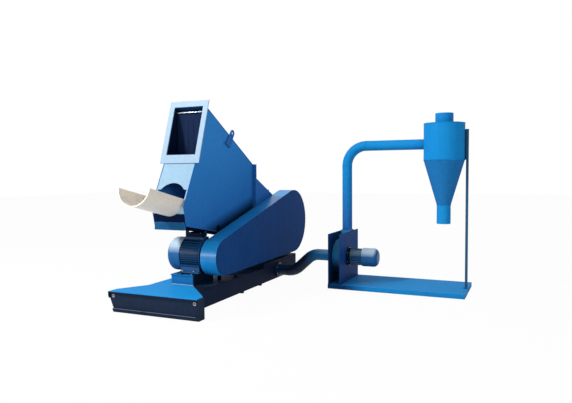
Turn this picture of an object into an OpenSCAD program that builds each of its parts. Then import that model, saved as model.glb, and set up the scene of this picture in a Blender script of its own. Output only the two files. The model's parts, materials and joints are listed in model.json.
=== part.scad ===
/* [Base frame] */
// Length of the front beam, across the machine
beam_len = 1170; // [1000:10:1400]
// Depth of the front beam, front to back
beam_depth = 110; // [90:5:140]
// Height of the front beam and the rails' top above the floor
frame_h = 220; // [200:5:260]
// Plate thickness of the folded front beam
beam_wall = 10; // [6:1:14]
// Height of the lip along the foot of the front beam
beam_lip_h = 36; // [24:2:60]
// Width over the outer faces of the two side rails
rail_span = 730; // [700:10:900]
// Width of a rail's flanges
rail_w = 70; // [50:5:90]
// Wall of the rail channels
rail_wall = 9; // [6:1:12]
// From the middle of the front beam to the rear end of the rails
base_len = 3005; // [2990:5:3100]
// Height of the levelling pads under the rails
pad_h = 20; // [10:1:30]
// Thickness of the deck plate at the front
deck_t = 8; // [5:1:12]
// Where the rear edge of the deck plate lies
deck_end = 1250; // [1150:10:1600]
// Thickness of the sole plate under the cutting chamber
sole_t = 60; // [30:5:70]

/* [Drive] */
// Height of the motor shaft above the floor
motor_z = 560; // [550:1:570]
// Distance of the motor shaft behind the middle of the front beam
motor_y = 730; // [700:5:760]
// Height of the rotor shaft above the floor
rotor_z = 800; // [790:5:830]
// Distance of the rotor shaft in front of the rear end of the rails
rotor_back = 260; // [255:1:270]
// Radius of the belt guard round the motor pulley
guard_r_small = 210; // [200:1:215]
// Radius of the belt guard round the rotor pulley
guard_r_big = 455; // [430:1:460]
// How far the guard's small end sits below the motor shaft
guard_drop = 20; // [0:1:30]
// Width of the belt guard, across the machine
guard_w = 210; // [190:2:230]
// Sheet thickness of the belt guard
guard_t = 4; // [2:0.5:6]
// Outer radius of the motor pulley
pulley_r_small = 125; // [100:1:140]
// Outer radius of the rotor pulley
pulley_r_big = 375; // [330:1:390]
// Number of belts side by side
belt_count = 4; // [3:1:4]
// Spacing of the belts on the pulleys
belt_pitch = 23; // [22:0.5:24]
// Top width of a belt
belt_top_w = 17; // [15:0.5:18]
// Height of a belt's section
belt_h = 11; // [9:0.5:12]

/* [Motor] */
// Radius of the motor's fins
motor_r = 204; // [190:1:208]
// Length of the finned motor frame
motor_frame_len = 248; // [220:2:260]
// Length of the fan cowl behind the frame
cowl_len = 150; // [130:2:160]
// Number of cooling fins on one side of the motor
fin_count = 15; // [9:2:17]
// Radius of the motor shaft
motor_shaft_r = 30; // [24:1:34]

/* [Cutting chamber] */
// Radius of the circle that the rotor knives' edges run on
cut_r = 215; // [205:1:215]
// Gap between rotor knives and bed knives
cut_gap = 1.5; // [1:0.1:3]
// Number of rotor knives
knife_count = 5; // [3:1:6]
// Half of the inner width of chamber and hopper
inner_half = 204; // [190:1:206]
// Thickness of the chamber side plates
side_t = 25; // [18:1:28]
// Height of the chamber floor at the front bed knife
floor_z = 640; // [630:5:660]
// Radius of the rotor shaft in its bearings
rotor_shaft_r = 45; // [38:1:55]
// Thickness of the screen
screen_t = 6; // [4:0.5:8]
// Radius of a screen hole
screen_hole_r = 9; // [6:0.5:11]

/* [Hopper] */
// Sheet thickness of the hopper
hopper_t = 6; // [4:0.5:8]
// Height of the lower edge of the inlet frame
inlet_z = 1625; // [1580:5:1680]
// Distance of the inlet frame's lower edge behind the front beam
inlet_y = 485; // [460:5:520]
// Lean of the inlet frame away from upright, in degrees
inlet_tilt = 18.3; // [14:0.1:22]
// Length of the inlet frame up its slope
inlet_len = 764; // [720:2:800]
// Width of the inlet frame
inlet_w = 520; // [490:2:560]
// Side border of the inlet frame
inlet_side = 64; // [60:1:80]
// Lower border of the inlet frame
inlet_low = 100; // [80:1:120]
// Upper border of the inlet frame
inlet_high = 72; // [60:1:90]
// Plate thickness of the inlet frame
inlet_t = 12; // [8:1:16]
// From where the hopper meets the chamber flange to the rotor shaft
chamber_len = 845; // [800:5:890]
// Height of the top of the cutting chamber at the flange
flange_top = 1427; // [1400:1:1450]
// Height of the hopper's roof where it meets the flange
hopper_rear_z = 1626; // [1600:2:1650]
// Thickness of each joint flange
flange_t = 12; // [8:1:16]
// Outer radius of the feed trough
trough_r = 190; // [170:1:195]
// Sheet thickness of the feed trough
trough_t = 4; // [3:0.5:6]
// Slope of the feed trough in degrees
trough_slope = 13; // [10:0.5:15]
// How far the trough reaches in front of the middle of the front beam
trough_reach = 305; // [200:5:400]

/* [Suction fan stand] */
// Left end of the fan stand's base
stand_x = 1245; // [1220:5:1290]
// Length of the fan stand's base
stand_len = 1710; // [1705:5:1760]
// Distance of the fan shaft in front of the rotor shaft
fan_ahead = 380; // [375:5:400]
// Depth of the fan stand's base
stand_depth = 820; // [780:5:860]
// Distance of the fan shaft behind the stand's front edge
fan_back = 380; // [360:5:420]
// Height of the fan stand's base
stand_h = 55; // [40:1:70]
// Height of the fan's side plates
fan_plate_h = 655; // [640:5:680]
// Thickness of the fan's side plates
fan_plate_t = 8; // [5:0.5:10]
// Clear width between the fan's side plates
fan_gap = 145; // [138:1:160]
// Height of the fan shaft above the floor
fan_z = 378; // [365:1:390]
// Largest radius of the fan's scroll
scroll_r = 270; // [262:1:274]
// Radius of the fan wheel
wheel_r = 195; // [170:1:205]
// Outer radius of the suction pipe
suction_r = 76; // [70:1:76]
// Outer radius of the pipe up to the cyclone
duct_r = 67; // [55:1:68]
// Wall of the pipes
pipe_t = 3; // [2:0.5:5]
// Radius of the bend in the pipe to the cyclone
bend_r = 270; // [200:5:320]
// Height of the pipe's level run to the cyclone
duct_z = 1865; // [1830:5:1900]

/* [Cyclone] */
// Radius of the cyclone's barrel
cyclone_r = 250; // [235:1:255]
// Height of the barrel's lower edge
barrel_z0 = 1655; // [1620:5:1680]
// Height of the barrel's upper edge
barrel_z1 = 2105; // [2060:5:2150]
// Height of the cone's lower end
cone_z = 1090; // [1040:5:1150]
// Radius of the outlet spout
spout_r = 85; // [70:1:95]
// Height of the spout's lower end
spout_z = 855; // [800:5:900]
// Radius of the air outlet on the lid
vent_r = 110; // [90:1:120]
// Height of the air outlet's top
vent_z = 2235; // [2200:5:2280]
// Width of the square post
post_w = 30; // [26:1:40]

/* [Hidden] */

cut = 4;
fit = 0.05;
gap = 0.3;
fn = 96;
fn_small = 32;
play = 1;
relief = 0.02;

azure = [0.12, 0.50, 0.82];
deep_blue = [0.13, 0.30, 0.58];
navy = [0.10, 0.14, 0.28];
pale_blue = [0.72, 0.86, 0.97];
motor_blue = [0.11, 0.24, 0.40];
steel = [0.62, 0.64, 0.66];
bare_sheet = [0.84, 0.81, 0.76];
rubber_black = [0.07, 0.07, 0.08];

// Where the drive, the chamber and the fan stand lie along the frame
rotor_y = base_len - rotor_back;
flange_y = rotor_y - chamber_len;
stand_y = rotor_y - fan_ahead - fan_back;

// Base frame places
rail_x = rail_span / 2;
rail_h = frame_h - pad_h;
rail_y = beam_depth / 2;
eye_r = 13;
eye_in = 60;
eye_x = beam_len / 2 - eye_in;
ear_cut = 46;
end_slope = 70;
deck_top = frame_h + deck_t;
deck_edge = 22;
deck_neck = 375;
sole_top = frame_h + sole_t;
member_y_shares = [0.13, 0.39, 0.56, 0.7];
member_w = 80;
pad_size = 64;
pad_y_shares = [0.12, 0.44, 0.61, 0.97];

// Motor places
guard_x0 = 240;
guard_x1 = guard_x0 + guard_w;
shield_t = 34;
shield_gap = 15;
motor_x1 = guard_x0 - shield_gap;
frame_x1 = motor_x1 - shield_t;
frame_x0 = frame_x1 - motor_frame_len;
rear_shield_t = 24;
cowl_x1 = frame_x0;
cowl_x0 = cowl_x1 - cowl_len - rear_shield_t;
cowl_wall = 3;
cowl_round = 46;
cowl_r = motor_r - 2 * cowl_wall;
cowl_hole_r = 9;
cowl_hole_count = 12;
cooling_blades = 7;
cooling_share = 0.8;
cowl_ring_shares = [0.3, 0.48, 0.66];
shield_in = 22;
shield_r = motor_r - shield_in;
shield_boss_share = 0.55;
stator_r = 104;
fin_h = 20;
body_r = motor_r - fin_h;
fin_t = 5;
slide_h = 14;
slide_w = 46;
foot_t = 20;
foot_w = 62;
motor_foot_y = 150;
foot_drop = 200;
pedestal_top = motor_z - foot_drop;
pedestal_half = 150;
pedestal_depth = 430;
pedestal_t = 10;
pedestal_lip = 8;
slide_x_shares = [0.1, 0.72];
box_len = 190;
box_depth = 130;
box_h = 52;
motor_bolt_r = 8;

// Belt drive places
belt_taper = 4;
groove_gap = 0.4;
groove_floor = 4;
pulley_w = belt_count * belt_pitch + belt_taper;
pulley_clear = 16;
pulley_x1 = guard_x1 - guard_t - pulley_clear;
pulley_x0 = pulley_x1 - pulley_w;
belt_base_w = belt_top_w - 2 * belt_taper;
belt_steps = 3;
drive_dy = rotor_y - motor_y;
drive_dz = rotor_z - motor_z;
guard_dz = drive_dz + guard_drop;
guard_d = sqrt(drive_dy * drive_dy + guard_dz * guard_dz);
web_t = 22;
hub_r = 80;
rim_wall = 26;
web_hole_r = 62;
web_hole_count = 6;
bracket_shares = [0.22, 0.72];

// Rotor and chamber places
rotor_gap = 4;
rotor_half = inner_half - rotor_gap;
side_x0 = inner_half + hopper_t;
side_x1 = side_x0 + side_t;
bearing_w = 62;
bearing_wall = 33;
bearing_r = rotor_shaft_r + bearing_wall;
housing_wall = 24;
housing_r = bearing_r + housing_wall;
housing_len = 84;
housing_flange_t = 20;
shaft_shoulder = 14;
shaft_core_r = rotor_shaft_r + shaft_shoulder;
seal_gap = 1;
hub_core_r = cut_r / 2;
knife_reach = 26;
arm_r = cut_r - knife_reach;
arm_start = 20;
arm_root_share = 0.8;
arm_w = 74;
arm_tip_w = 44;
knife_t = 20;
knife_w = 92;
knife_hole_share = 0.34;
knife_heel = knife_w * (1 - knife_hole_share);
nut_share = 1.8;
knife_bolt_r = 9;
knife_bolt_count = 4;
bed_r = cut_r + cut_gap;
bed_t = 24;
bed_w = 118;
front_edge_y = rotor_y - sqrt(bed_r * bed_r - (rotor_z - floor_z) * (rotor_z - floor_z));
rear_face_y = rotor_y + bed_r;
rear_bed_t = 20;
rear_bed_h = 130;
rear_beam_y = rear_face_y + rear_bed_t;
top_rear_z = rotor_z + rear_bed_h;
screen_gap = 7;
screen_r = cut_r + screen_gap;
screen_a0 = 236;
screen_a1 = 356;
cradle_r = screen_r + screen_t;
cradle_t = 16;
cradle_rib_w = 14;
cradle_rib_shares = [-0.9, -0.3, 0.3, 0.9];
cradle_bar_in = 5;
apron_ahead = 485;
apron_y = rotor_y - apron_ahead;
apron_t = 12;
apron_drop = 100;
chamber_front = flange_y + flange_t;
header_w = 40;
top_front_y = chamber_front + header_w;
cover_t = 10;
cover_rib_h = 36;
cover_rib_shares = [0.25, 0.6];
cover_angle = atan2(flange_top - top_rear_z, base_len - top_front_y);
cover_len = sqrt(pow(flange_top - top_rear_z, 2) + pow(base_len - top_front_y, 2));
hinge_r = 9;
knuckle_r = 17;
pin_ear_r = 14;
knuckle_len = 60;
door_t = 8;
door_gap = 12;
door_z0 = sole_top + door_gap;
door_drop = 34;
door_z1 = rotor_z - door_drop;
door_x = side_x1;
handle_r = 8;
handle_reach = 46;
door_hinge_shares = [0.2, 0.8];
handle_drop = 280;
handle_z = rotor_z - handle_drop;
pan_z0 = 50;
pan_t = 5;
pan_y0 = apron_y + apron_t;
pan_gap = 14;
pan_y1 = base_len - pan_gap;
outlet_z = 133;
pipe_flange_w = 27;
pipe_flange_r = suction_r + pipe_flange_w;
pipe_flange_t = 8;
stub_out = 14;
stub_x1 = rail_x + stub_out;

// Hopper places, as points of its side outline
hop_half = inner_half + hopper_t;
lean = tan(inlet_tilt);
throat_low_z = inlet_z - inlet_t * sin(inlet_tilt) - play;
throat_high_z = 2292;
plane_y = inlet_y + inlet_t / cos(inlet_tilt);
nose_y = 255;
nose_z = 1143;
toe_y = 305;
toe_z = 930;
heel_z = floor_z - hopper_t;
slope_share = 1.2;
hop_rear = flange_y - flange_t;
mouth_top = 1330;
rim_rise = 36;
rim_z = toe_z + rim_rise;
mouth_drop = 105;
bar_h = 82;
bar_t = 26;
bar_in = 15;
ring_w = 25;
ear_w = 50;
ear_z = 1090;
ring_drop = 34;
ring_low_z = heel_z - ring_drop;
ring_top_z = hopper_rear_z;
ring_bolt_r = 6;
ring_nut_r = nut_share * ring_bolt_r;
ring_bolt_in = 24;
ring_rows = 5;
rod_r = 8;
rod_z = 2215;
rod_back = 52;
curtain_t = 6;
curtain_half = 186;
curtain_drop = 560;
curtain_slit = 4;
curtain_head = 68;
curtain_strips = 5;
lug_y = 1308;
lug_w = 84;
lug_foot_w = 116;
lug_lean = 28;
lug_t = 14;
lug_rise = 58;
lug_sink = 138;
lug_hole_r = 20;
leg_w = 26;
leg_d = 40;
leg_y = 945;
leg_top = 880;
trough_in = 62;

// Fan and pipe places
stand_wall = 5;
fan_x0 = stand_x + stand_wall;
fan_x1 = fan_x0 + fan_plate_t;
fan_x2 = fan_x1 + fan_gap;
fan_x3 = fan_x2 + fan_plate_t;
fan_y = stand_y + fan_back;
outlet_y = fan_y;
scroll_start_share = 0.84;
scroll_t = 4;
scroll_steps = 48;
inlet_hole_r = suction_r - pipe_t;
wheel_clear = 11;
blade_count = 8;
blade_t = 6;
blade_root_r = 60;
fan_shaft_r = 19;
flange_disc_r = 126;
flange_disc_t = 14;
fan_motor_r = 112;
fan_motor_len = 189;
fan_cowl_r = 122;
fan_cowl_len = 207;
fan_cowl_round = 60;
fan_fin_count = 24;
fan_fin_h = 9;
riser_y = fan_y + scroll_r - scroll_t - duct_r;
riser_x = (fan_x1 + fan_x2) / 2;
plate_top = stand_h + fan_plate_h;
cyclone_x = 2650;
duct_inset = 4;
cyclone_y = riser_y + duct_r + duct_inset - cyclone_r;
lid_t = 6;
lid_lip = 3;
finder_z = 1800;
post_gap = 14;
post_x = cyclone_x + cyclone_r + post_gap;
post_top = 2030;
bracket_t = 8;
bend_angle = 42;
elbow_r = 230;
rise = fan_z - outlet_z;
elbow_rise = 2 * elbow_r * (1 - cos(bend_angle));
slant_len = (rise - elbow_rise) / sin(bend_angle);
s_len = 2 * elbow_r * sin(bend_angle) + slant_len * cos(bend_angle);
level_in = 160;
pipe_x0 = stub_x1;
pipe_x1 = fan_x0;

// A flat outline drawn in Y and Z, thickened along X
module yz(x0, thick) {
  translate([x0, 0, 0])
    rotate([90, 0, 90])
      linear_extrude(thick)
        children();
}

// A round bar along X
module bar_x(x0, x1, y, z, r, facets = fn) {
  translate([x0, y, z])
    rotate([0, 90, 0])
      cylinder(h = x1 - x0, r = r, $fn = facets);
}

// A block between two corners
module block(a, b) {
  translate(a)
    cube([b[0] - a[0], b[1] - a[1], b[2] - a[2]]);
}

// Point on a circle round the motor shaft or the rotor shaft, in Y and Z
function on_motor(r, a, drop = 0) = [motor_y + r * cos(a), motor_z - drop + r * sin(a)];
function on_rotor(r, a) = [rotor_y + r * cos(a), rotor_z + r * sin(a)];

// The outline that a belt of these two radii follows; drop lowers its small end
module drive_outline(r1, r2, drop = 0) {
  rise = drive_dz + drop;
  dir = atan2(rise, drive_dy);
  lean_in = asin((r2 - r1) / sqrt(drive_dy * drive_dy + rise * rise));
  up = dir + 90 + lean_in;
  down = dir - 90 - lean_in;
  union() {
    translate([motor_y, motor_z - drop])
      circle(r = r1, $fn = 128);
    translate([rotor_y, rotor_z])
      circle(r = r2, $fn = 160);
    polygon([
      on_motor(r1 - relief, up, drop),
      on_motor(r1 - relief, down, drop),
      on_rotor(r2 - relief, down),
      on_rotor(r2 - relief, up)
    ]);
  }
}

// Base frame

// Folded section, open to the rear: recessed web, full-depth top, lip along the foot
module beam_profile() {
  front = -beam_depth / 2;
  rear = beam_depth / 2;
  web = front + 2 * beam_wall;
  polygon([
    [front, 0],
    [rear, 0],
    [rear, beam_wall],
    [web + beam_wall, beam_wall],
    [web + beam_wall, frame_h - beam_wall],
    [rear, frame_h - beam_wall],
    [rear, frame_h],
    [front, frame_h],
    [front, frame_h - beam_wall],
    [web, frame_h - beam_wall],
    [web, beam_lip_h],
    [front, beam_lip_h]
  ]);
}

module front_beam() {
  color(navy)
    difference() {
      union() {
        yz(-beam_len / 2 + beam_wall, beam_len - 2 * beam_wall)
          beam_profile();
        for (side = [-1, 1])
          yz(side * (beam_len - beam_wall) / 2 - beam_wall / 2, beam_wall)
            polygon([
              [-beam_depth / 2, 0],
              [beam_depth / 2, 0],
              [beam_depth / 2, frame_h],
              [-beam_depth / 2, frame_h]
            ]);
      }
      // slanted left end
      translate([-beam_len / 2, 0, 0])
        rotate([90, 0, 0])
          linear_extrude(beam_depth + 2 * cut, center = true)
            polygon([
              [-cut, -cut],
              [end_slope, -cut],
              [0, frame_h - ear_cut],
              [-cut, frame_h - ear_cut]
            ]);
      // towing eyes through the web near both ends
      for (side = [-1, 1])
        translate([side * eye_x, 0, frame_h - ear_cut])
          rotate([90, 0, 0])
            cylinder(h = beam_depth, r = eye_r, $fn = fn_small, center = true);
    }
}

module rail_channel(side) {
  outer = side * rail_x;
  inner = side * (rail_x - rail_w);
  web_in = side * (rail_x - rail_wall);
  lo = min(outer, inner);
  difference() {
    translate([lo, rail_y, pad_h])
      cube([rail_w, base_len - rail_y, rail_h]);
    translate([min(web_in, inner - side * cut), rail_y - cut, pad_h + rail_wall])
      cube([rail_w - rail_wall + cut, base_len - rail_y + 2 * cut, rail_h - 2 * rail_wall]);
  }
}

module left_rail() {
  color(navy)
    rail_channel(-1);
}

module right_rail() {
  color(navy)
    difference() {
      rail_channel(1);
      bar_x(rail_x - rail_wall - cut, rail_x + cut, outlet_y, outlet_z, suction_r + play);
    }
}

module cross_members() {
  color(navy)
    for (share = member_y_shares)
      translate([-rail_x + rail_w, share * base_len - member_w / 2, pad_h + rail_wall])
        difference() {
          cube([rail_span - 2 * rail_w, member_w, rail_h - 2 * rail_wall]);
          translate([-cut, rail_wall, rail_wall])
            cube([rail_span, member_w, rail_h - 4 * rail_wall]);
        }
}

module levelling_pads() {
  color(navy)
    for (side = [-1, 1], share = pad_y_shares)
      translate([side * (rail_x - rail_w / 2), share * base_len, 0])
        cylinder(h = pad_h, r = pad_size / 2, $fn = fn_small);
}

module deck_plate() {
  front = beam_len / 2 - deck_edge;
  color(azure)
    translate([0, 0, frame_h])
      linear_extrude(deck_t)
        polygon([
          [-front, -beam_depth / 2],
          [front, -beam_depth / 2],
          [front, beam_depth / 2],
          [rail_x, deck_neck],
          [rail_x, deck_end],
          [-rail_x, deck_end],
          [-rail_x, deck_neck],
          [-front, beam_depth / 2]
        ]);
}

module sole_plate() {
  color(navy)
    difference() {
      block([-rail_x, flange_y, frame_h], [rail_x, base_len, sole_top]);
      block([-inner_half, pan_y0, frame_h - cut], [inner_half, pan_y1, sole_top + cut]);
    }
}

// Motor and its seat

module motor_pedestal() {
  y0 = motor_y - pedestal_depth / 2;
  color(azure)
    difference() {
      union() {
        block([-pedestal_half, y0, deck_top], [pedestal_half, y0 + pedestal_depth, pedestal_top - slide_h]);
        block(
          [-pedestal_half - pedestal_lip, y0 - pedestal_lip, pedestal_top - slide_h - pedestal_t],
          [pedestal_half + pedestal_lip, y0 + pedestal_depth + pedestal_lip, pedestal_top - slide_h]
        );
      }
      block(
        [-pedestal_half + pedestal_t, y0 + pedestal_t, deck_top - cut],
        [
          pedestal_half - pedestal_t,
          y0 + pedestal_depth - pedestal_t,
          pedestal_top - slide_h - pedestal_t
        ]
      );
    }
}

function slide_x(share) = frame_x0 + share * motor_frame_len;

module motor_slide_rails() {
  color(navy)
    for (share = slide_x_shares)
      difference() {
        block(
          [slide_x(share) - slide_w / 2, motor_y - pedestal_depth / 2, pedestal_top - slide_h],
          [slide_x(share) + slide_w / 2, motor_y + pedestal_depth / 2, pedestal_top]
        );
        block(
          [
            slide_x(share) - motor_bolt_r - play,
            motor_y - pedestal_depth / 2 + slide_w / 2,
            pedestal_top - slide_h / 2
          ],
          [
            slide_x(share) + motor_bolt_r + play,
            motor_y + pedestal_depth / 2 - slide_w / 2,
            pedestal_top + cut
          ]
        );
      }
}

module motor_section() {
  fin_step = 2 * (body_r - fin_t) / (fin_count - 1);
  difference() {
    union() {
      translate([motor_y, motor_z])
        circle(r = body_r, $fn = fn);
      intersection() {
        translate([motor_y, motor_z])
          circle(r = motor_r, $fn = fn);
        union()
          for (k = [0 : fin_count - 1])
            translate([motor_y - motor_r, motor_z - body_r + fin_t / 2 + k * fin_step])
              square([2 * motor_r, fin_t]);
      }
      // flat seat for the terminal box
      translate([motor_y - box_depth / 2, motor_z])
        square([box_depth, motor_r]);
      // feet and the webs that carry them
      for (side = [-1, 1]) {
        translate([motor_y + side * motor_foot_y - foot_w / 2, pedestal_top])
          square([foot_w, foot_t]);
        translate([motor_y + side * motor_foot_y - fin_t, pedestal_top])
          square([2 * fin_t, motor_r / 2]);
      }
    }
    translate([motor_y, motor_z])
      circle(r = stator_r, $fn = fn);
  }
}

module motor_frame() {
  color(motor_blue)
    difference() {
      yz(frame_x0, motor_frame_len)
        motor_section();
      for (side = [-1, 1], share = slide_x_shares)
        translate([slide_x(share), motor_y + side * (motor_foot_y + foot_w / 4), pedestal_top - cut])
          cylinder(h = foot_t + 2 * cut, r = motor_bolt_r, $fn = fn_small);
    }
}

module motor_end_shields() {
  color(motor_blue) {
    difference() {
      union() {
        bar_x(frame_x1, frame_x1 + shield_t / 2, motor_y, motor_z, shield_r);
        bar_x(frame_x1, motor_x1, motor_y, motor_z, shield_r * shield_boss_share);
      }
      bar_x(frame_x1 - cut, motor_x1 + cut, motor_y, motor_z, motor_shaft_r + fit);
    }
    difference() {
      bar_x(frame_x0 - rear_shield_t, frame_x0, motor_y, motor_z, shield_r);
      bar_x(frame_x0 - rear_shield_t - cut, frame_x0 + cut, motor_y, motor_z, motor_shaft_r + fit);
    }
  }
}

module motor_fan_cowl() {
  color(motor_blue)
    translate([cowl_x0, motor_y, motor_z])
      rotate([0, 90, 0])
        difference() {
          rotate_extrude($fn = fn)
            difference() {
              union() {
                translate([0, cowl_round])
                  square([cowl_r, cowl_x1 - cowl_x0 - cowl_round]);
                square([cowl_r - cowl_round, cowl_round]);
                intersection() {
                  translate([cowl_r - cowl_round, cowl_round])
                    circle(r = cowl_round, $fn = 64);
                  square([cowl_r, cowl_round]);
                }
              }
              translate([0, cowl_round])
                square([cowl_r - cowl_wall, cowl_x1 - cowl_x0]);
              translate([0, cowl_wall])
                square([cowl_r - cowl_round, cowl_round]);
            }
          for (ring = cowl_ring_shares, k = [0 : cowl_hole_count - 1])
            rotate([0, 0, k * 360 / cowl_hole_count])
              translate([ring * cowl_r, 0, -cut])
                cylinder(h = cowl_round, r = cowl_hole_r, $fn = fn_small);
        }
}

module motor_terminal_box() {
  mid = frame_x0 + motor_frame_len / 2;
  base_z = motor_z + motor_r;
  lid_z = base_z + box_h - foot_t;
  color(motor_blue) {
    block(
      [mid - box_len / 2, motor_y - box_depth / 2, base_z],
      [mid + box_len / 2, motor_y + box_depth / 2, lid_z]
    );
    block(
      [mid - box_len / 2 - fin_t, motor_y - box_depth / 2 - fin_t, lid_z],
      [mid + box_len / 2 + fin_t, motor_y + box_depth / 2 + fin_t, base_z + box_h]
    );
  }
}

module motor_shaft() {
  color(steel) {
    bar_x(frame_x0 - rear_shield_t - shield_t, pulley_x1 + fin_t, motor_y, motor_z, motor_shaft_r);
    bar_x(frame_x0 + foot_t, frame_x1 - foot_t, motor_y, motor_z, stator_r - play);
  }
}

// Straight blades round a shaft, drawn in Y and Z about the origin
module blade_star(count, thick, r0, r1) {
  for (k = [0 : count - 1])
    rotate(k * 360 / count)
      translate([r0, -thick / 2])
        square([r1 - r0, thick]);
}

module motor_cooling_fan() {
  fan_end = frame_x0 - rear_shield_t;
  color(steel)
    translate([0, motor_y, motor_z])
      difference() {
        union() {
          yz(fan_end - shield_t, shield_t - cut)
            union() {
              circle(r = motor_shaft_r + foot_t, $fn = fn);
              blade_star(cooling_blades, fin_t, motor_shaft_r + foot_t / 2, cowl_r * cooling_share);
            }
          yz(fan_end - shield_t / 2, fin_t)
            circle(r = stator_r, $fn = fn);
        }
        bar_x(fan_end - 2 * shield_t, fan_end + cut, 0, 0, motor_shaft_r);
      }
}

// Belt drive

function groove_x(k) = pulley_x0 + pulley_w / 2 + (k - (belt_count - 1) / 2) * belt_pitch;

// Half section of a grooved rim: radius along X, width along Y
module groove_cuts(r) {
  for (k = [0 : belt_count - 1])
    translate([0, groove_x(k) - pulley_x0])
      polygon([
        [r + cut, -belt_top_w / 2 - groove_gap],
        [r + cut, belt_top_w / 2 + groove_gap],
        [r - play, belt_top_w / 2 + groove_gap],
        [r - belt_h - groove_floor, belt_base_w / 2 + groove_gap],
        [r - belt_h - groove_floor, -belt_base_w / 2 - groove_gap],
        [r - play, -belt_top_w / 2 - groove_gap]
      ]);
}

module motor_pulley() {
  color(steel)
    translate([pulley_x0, motor_y, motor_z])
      rotate([0, 90, 0])
        rotate_extrude($fn = fn)
          difference() {
            translate([motor_shaft_r, 0])
              square([pulley_r_small - motor_shaft_r, pulley_w]);
            groove_cuts(pulley_r_small);
          }
}

module rotor_pulley() {
  color(steel)
    translate([pulley_x0, rotor_y, rotor_z])
      rotate([0, 90, 0])
        difference() {
          rotate_extrude($fn = 128)
            difference() {
              translate([rotor_shaft_r, 0])
                square([pulley_r_big - rotor_shaft_r, pulley_w]);
              groove_cuts(pulley_r_big);
              translate([hub_r, -cut])
                square([pulley_r_big - rim_wall - hub_r - belt_h, (pulley_w - web_t) / 2 + cut]);
              translate([hub_r, (pulley_w + web_t) / 2])
                square([pulley_r_big - rim_wall - hub_r - belt_h, pulley_w]);
            }
          for (k = [0 : web_hole_count - 1])
            rotate([0, 0, k * 360 / web_hole_count])
              translate([(hub_r + pulley_r_big - rim_wall) / 2, 0, -cut])
                cylinder(h = pulley_w + 2 * cut, r = web_hole_r, $fn = fn);
        }
}

// Width of a belt at a depth below its back
function belt_w(depth) = belt_top_w - 2 * belt_taper * depth / belt_h;

// A belt loop, wide at its back, whose flanks step in towards its inside
module one_belt(x) {
  r1 = pulley_r_small - play;
  r2 = pulley_r_big - play;
  step = belt_h / belt_steps;
  translate([x, 0, 0])
    difference() {
      yz(-belt_w(step) / 2, belt_w(step))
        drive_outline(r1, r2);
      yz(-belt_top_w, 2 * belt_top_w)
        drive_outline(r1 - belt_h, r2 - belt_h);
      for (side = [-1, 1], k = [1 : belt_steps - 1])
        yz(side > 0 ? belt_w((k + 1) * step) / 2 : -belt_top_w, belt_top_w - belt_w((k + 1) * step) / 2)
          drive_outline(r1 - k * step, r2 - k * step);
    }
}

module v_belts() {
  color(rubber_black)
    for (k = [0 : belt_count - 1])
      one_belt(groove_x(k));
}

module guard_back_plate() {
  color(azure)
    difference() {
      yz(guard_x0, guard_t)
        drive_outline(guard_r_small - guard_t, guard_r_big - guard_t, guard_drop);
      bar_x(guard_x0 - cut, guard_x0 + guard_t + cut, motor_y, motor_z, motor_shaft_r + foot_t);
      bar_x(guard_x0 - cut, guard_x0 + guard_t + cut, rotor_y, rotor_z, housing_r + foot_t);
    }
}

module guard_rim() {
  color(azure)
    yz(guard_x0, guard_w - guard_t)
      difference() {
        drive_outline(guard_r_small, guard_r_big, guard_drop);
        drive_outline(guard_r_small - guard_t, guard_r_big - guard_t, guard_drop);
      }
}

module guard_cover() {
  color(deep_blue)
    yz(guard_x1 - guard_t, guard_t)
      drive_outline(guard_r_small, guard_r_big, guard_drop);
}

// Height of the guard's lower edge at a distance y behind the front beam
guard_down = atan2(guard_dz, drive_dy) - 90 - asin((guard_r_big - guard_r_small) / guard_d);
low_small = on_motor(guard_r_small, guard_down, guard_drop);
low_big = on_rotor(guard_r_big, guard_down);
function guard_low(y) =
  low_small[1] + (y - low_small[0]) * (low_big[1] - low_small[1]) / (low_big[0] - low_small[0]);

module guard_brackets() {
  color(navy)
    for (k = [0, 1]) {
      y = motor_y + bracket_shares[k] * drive_dy;
      seat_z = k == 0 ? deck_top : sole_top;
      top_z = min(guard_low(y - slide_w), guard_low(y + slide_w));
      block([rail_x - rail_w, y - slide_w, seat_z], [rail_x, y + slide_w, seat_z + fin_t]);
      block(
        [rail_x - (rail_w + fin_t) / 2, y - slide_w, seat_z],
        [rail_x - (rail_w - fin_t) / 2, y + slide_w, top_z]
      );
      block([rail_x - rail_w, y - slide_w, top_z - fin_t], [rail_x, y + slide_w, top_z]);
    }
}

// Rotor

module rotor_shaft() {
  color(steel) {
    bar_x(-side_x1 - housing_len, pulley_x1 + fin_t, rotor_y, rotor_z, rotor_shaft_r);
    bar_x(-rotor_half, rotor_half, rotor_y, rotor_z, shaft_core_r);
  }
}

function arm_angle(k) = k * 360 / knife_count + arm_start;

module rotor_body() {
  color(steel)
    difference() {
      yz(-rotor_half, 2 * rotor_half)
        translate([rotor_y, rotor_z])
          difference() {
            union() {
              circle(r = hub_core_r, $fn = fn);
              for (k = [0 : knife_count - 1])
                rotate(arm_angle(k))
                  polygon([
                    [0, 0],
                    [arm_r, 0],
                    [arm_r, arm_tip_w],
                    [hub_core_r * arm_root_share, arm_w],
                    [0, arm_w]
                  ]);
            }
            circle(r = shaft_core_r, $fn = fn);
          }
      for (k = [0 : knife_count - 1], j = [0 : knife_bolt_count - 1])
        knife_hole(k, j, knife_bolt_r);
    }
}

// One bolt hole of knife k, square to the knife's face
module knife_hole(k, j, r) {
  step = 2 * rotor_half / knife_bolt_count;
  translate([-rotor_half + step / 2 + j * step, rotor_y, rotor_z])
    rotate([arm_angle(k), 0, 0])
      translate([0, arm_r - knife_w * knife_hole_share, 0])
        translate([0, 0, -knife_t - cut])
          cylinder(h = knife_t + arm_tip_w + cut, r = r, $fn = fn_small);
}

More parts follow.
